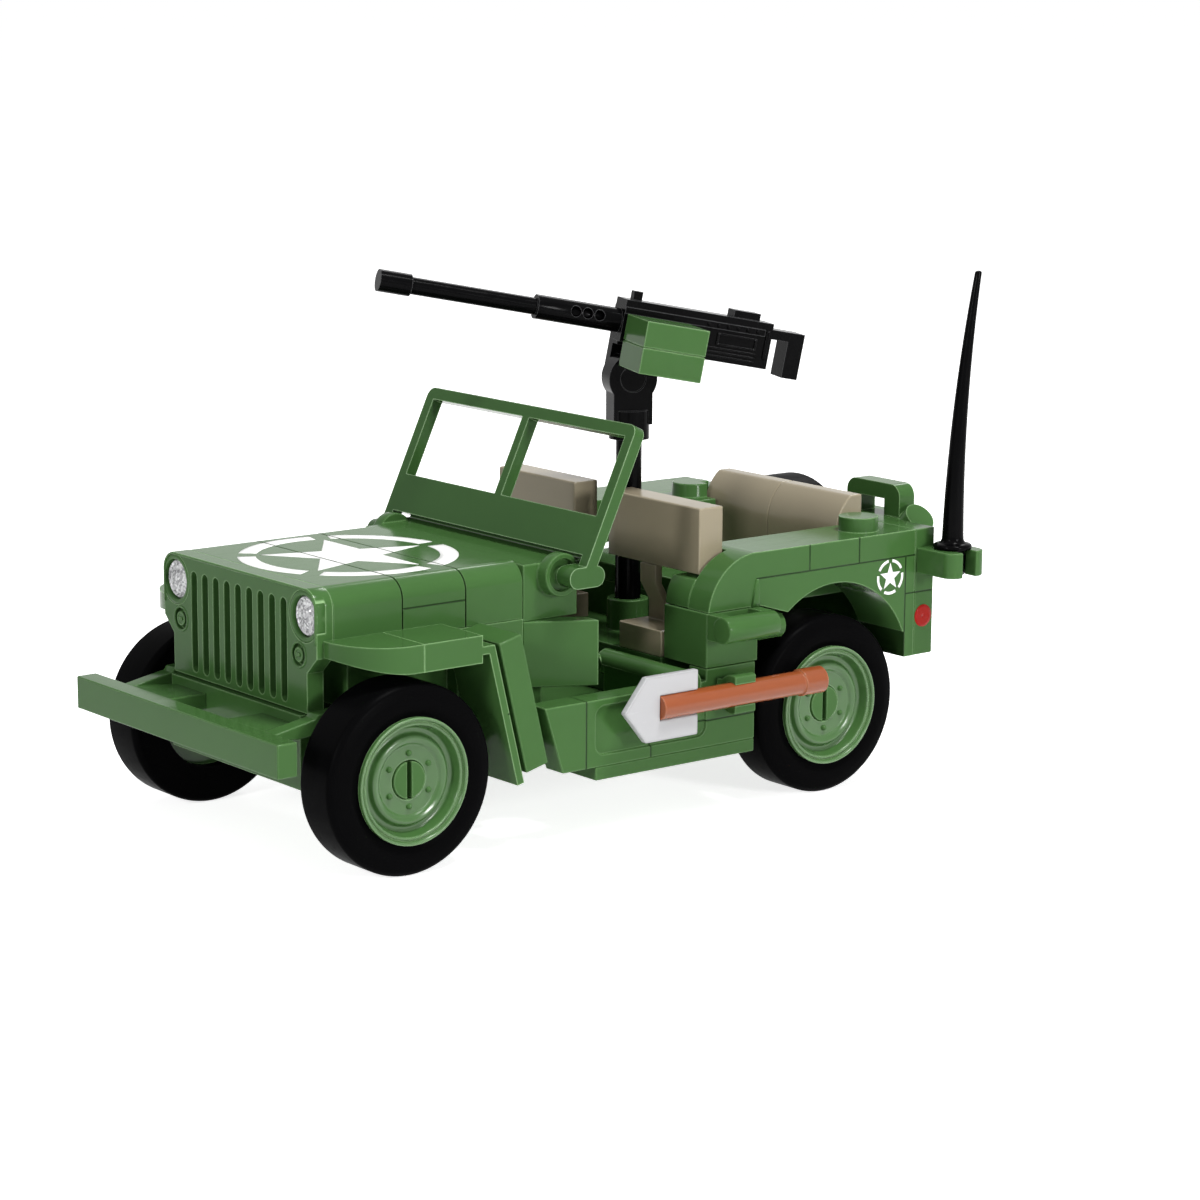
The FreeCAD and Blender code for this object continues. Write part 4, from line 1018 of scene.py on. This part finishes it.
for side, label in sides:
    capped_grids(label + "_side_rib", [small_rib(side)], *green_brick)
print("small pieces made")

# %% [markdown]
# ## Aerial
# The aerial is one moulded rod: a foot in the clip, a rounded collar, then a long taper that leans
# back more the higher it goes. At height share t its middle has moved back by lean * t^2, and its
# radius falls evenly to a small round tip.

# %% Aerial
aerial_low, aerial_high = node_box("antenna")
collar_radius, aerial_lean, rod_base, tip_share = 2.4, 3.2, 29.8, 0.992
foot_rows = [(25.72, 1.45), (25.80, 1.58), (28.62, 1.6), (28.78, 1.75), (28.84, 2.1), (28.98, 2.33),
             (29.2, 2.39), (29.45, 2.33), (29.58, 2.12), (29.64, 1.8), (29.78, 1.5), (30.1, 1.36)]
tall = aerial_high[2] - rod_base
taper = [(rod_base + tall * t, 1.35 - 0.93 * t) for t in np.linspace(0.02, tip_share, 40)]
tip = [(rod_base + tall * (tip_share + 0.0075 * math.sin(u)), 0.427 * math.cos(u))
       for u in np.linspace(0.3, 1.5, 5)]
aerial_rows = np.array(foot_rows + taper + tip)
spin = full_turn(32)[None, :]
raised = np.clip((aerial_rows[:, 0:1] - rod_base) / tall, 0, 1)
aerial_x = (aerial_low[0] + aerial_high[0]) / 2 + aerial_rows[:, 1:2] * np.cos(spin)
aerial_y = (aerial_low[1] + collar_radius + aerial_lean * raised ** 2
            + aerial_rows[:, 1:2] * np.sin(spin))
aerial_grid = np.stack([aerial_x, aerial_y, aerial_rows[:, 0:1] + 0 * spin], axis=-1)
aerial = capped_grids("whip_aerial", [aerial_grid], "car_body", "black_plastic", black)
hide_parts("antenna")
print("aerial top z", round(float(aerial_rows[-1, 0]), 2))

# %% [markdown]
# ## Floor, light and camera
# The toy stands on a white table. The floor's own colour is pale, and white is added to what the
# camera, glass and reflections see of it, so that it reads as paper while its shadow stays.

# %% Floor


def seen_share(tree):
    """1 for camera rays, rays through glass and reflections, and 0 for the light that falls."""
    seen = node(tree, "LightPath")
    direct = math_node(tree, "MAXIMUM", seen.outputs["Is Camera Ray"],
                       seen.outputs["Is Transmission Ray"])
    return math_node(tree, "MAXIMUM", direct, seen.outputs["Is Glossy Ray"])


paper_white, paper_glow, reach = 0.88, 0.79, 4.0
floor_mesh = bpy.data.meshes.new("floor")
floor_corners = [(-reach, -reach, 0), (reach, -reach, 0), (reach, reach, 0), (-reach, reach, 0)]
floor_mesh.from_pydata(floor_corners, [], [(0, 1, 2, 3)])
floor = bpy.data.objects.new("floor", floor_mesh)
bpy.context.scene.collection.objects.link(floor)
floor.location.z = cad_low.z - 0.00002
paper, tree, shader = new_material("white_paper")
shader.inputs["Base Color"].default_value = (paper_white, paper_white, paper_white, 1)
shader.inputs["Roughness"].default_value = 0.9
shader.inputs["Specular IOR Level"].default_value = 0.0
glow = node(tree, "Emission", Strength=math_node(tree, "MULTIPLY", seen_share(tree), paper_glow))
total = node(tree, "AddShader")
tree.links.new(shader.outputs["BSDF"], total.inputs[0])
tree.links.new(glow.outputs["Emission"], total.inputs[1])
tree.links.new(total.outputs["Shader"], tree.nodes["Material Output"].inputs["Surface"])
floor_mesh.materials.append(paper)
print("floor at z", round(floor.location.z, 6))

# %% [markdown]
# The sky does the same as the floor: a low plain level lights the toy, and white is what is seen.
# Four square lamps, the strongest above and one behind, draw its edges.

# %% Sky and lamps
scene = bpy.context.scene
world = bpy.data.worlds.new("studio")
scene.world = world
world.use_nodes = True
tree = world.node_tree
sky_level = 0.24
strength = math_node(tree, "MULTIPLY_ADD", seen_share(tree), 1.0 - sky_level, sky_level)
background = tree.nodes["Background"]
background.inputs["Color"].default_value = (1, 1, 1, 1)
tree.links.new(strength, background.inputs["Strength"])


def soft_lamp(name, place, size, power):
    """A square area lamp at a place, aimed at the toy's middle; places in metres."""
    light = bpy.data.lights.new(name, "AREA")
    light.size = size
    light.energy = power
    lamp = bpy.data.objects.new(name, light)
    scene.collection.objects.link(lamp)
    lamp.location = place
    aim = np.array(toy_middle) - np.array(place)
    lamp.rotation_euler = (math.atan2(math.hypot(aim[0], aim[1]), -aim[2]), 0,
                           math.atan2(aim[1], aim[0]) - math.pi / 2)


toy_middle = (0, 0, 0.02)
soft_lamp("top_lamp", (0.20, 0.06, 0.52), 0.12, 2.8)
soft_lamp("front_lamp", (0.12, -0.50, 0.24), 0.10, 1.0)
soft_lamp("side_lamp", (0.55, 0.08, 0.16), 0.10, 1.4)
soft_lamp("back_lamp", (-0.35, 0.45, 0.45), 0.20, 0.9)

# %% [markdown]
# The camera stands where the photograph's stood. Its turn is built from three directions: back
# from the car to the lens, right and up, with a slight roll between the last two. The photograph's
# focal length in pixels, over its width in pixels, is the lens over the sensor's width.

# %% Camera
azimuth, elevation, roll = (math.radians(v) for v in (51.44, 11.38, 0.35))
back = np.array([math.sin(azimuth) * math.cos(elevation), -math.cos(azimuth) * math.cos(elevation),
                 math.sin(elevation)])
right = np.cross(-back, [0, 0, 1])
right /= np.linalg.norm(right)
up = np.cross(right, -back)
turned_right = right * math.cos(roll) + up * math.sin(roll)
turned_up = up * math.cos(roll) - right * math.sin(roll)
camera_data = bpy.data.cameras.new("camera")
camera = bpy.data.objects.new("camera", camera_data)
scene.collection.objects.link(camera)
spot = np.array([centre_x + 321.24, axle_y - 210.68, 104.82]) * mm
columns = np.stack([turned_right, turned_up, back, spot], axis=1)
camera.matrix_world = Matrix([*columns.tolist(), [0, 0, 0, 1]])
photo_focal, photo_width = 3388.29, 1200
camera_data.sensor_width = 36.0
camera_data.lens = photo_focal / photo_width * camera_data.sensor_width
camera_data.clip_start = 0.01
camera_data.clip_end = 20.0
scene.camera = camera
scene.view_settings.view_transform = "Standard"
print("lens mm", round(camera_data.lens, 2), " camera at mm", np.round(spot / mm, 1))
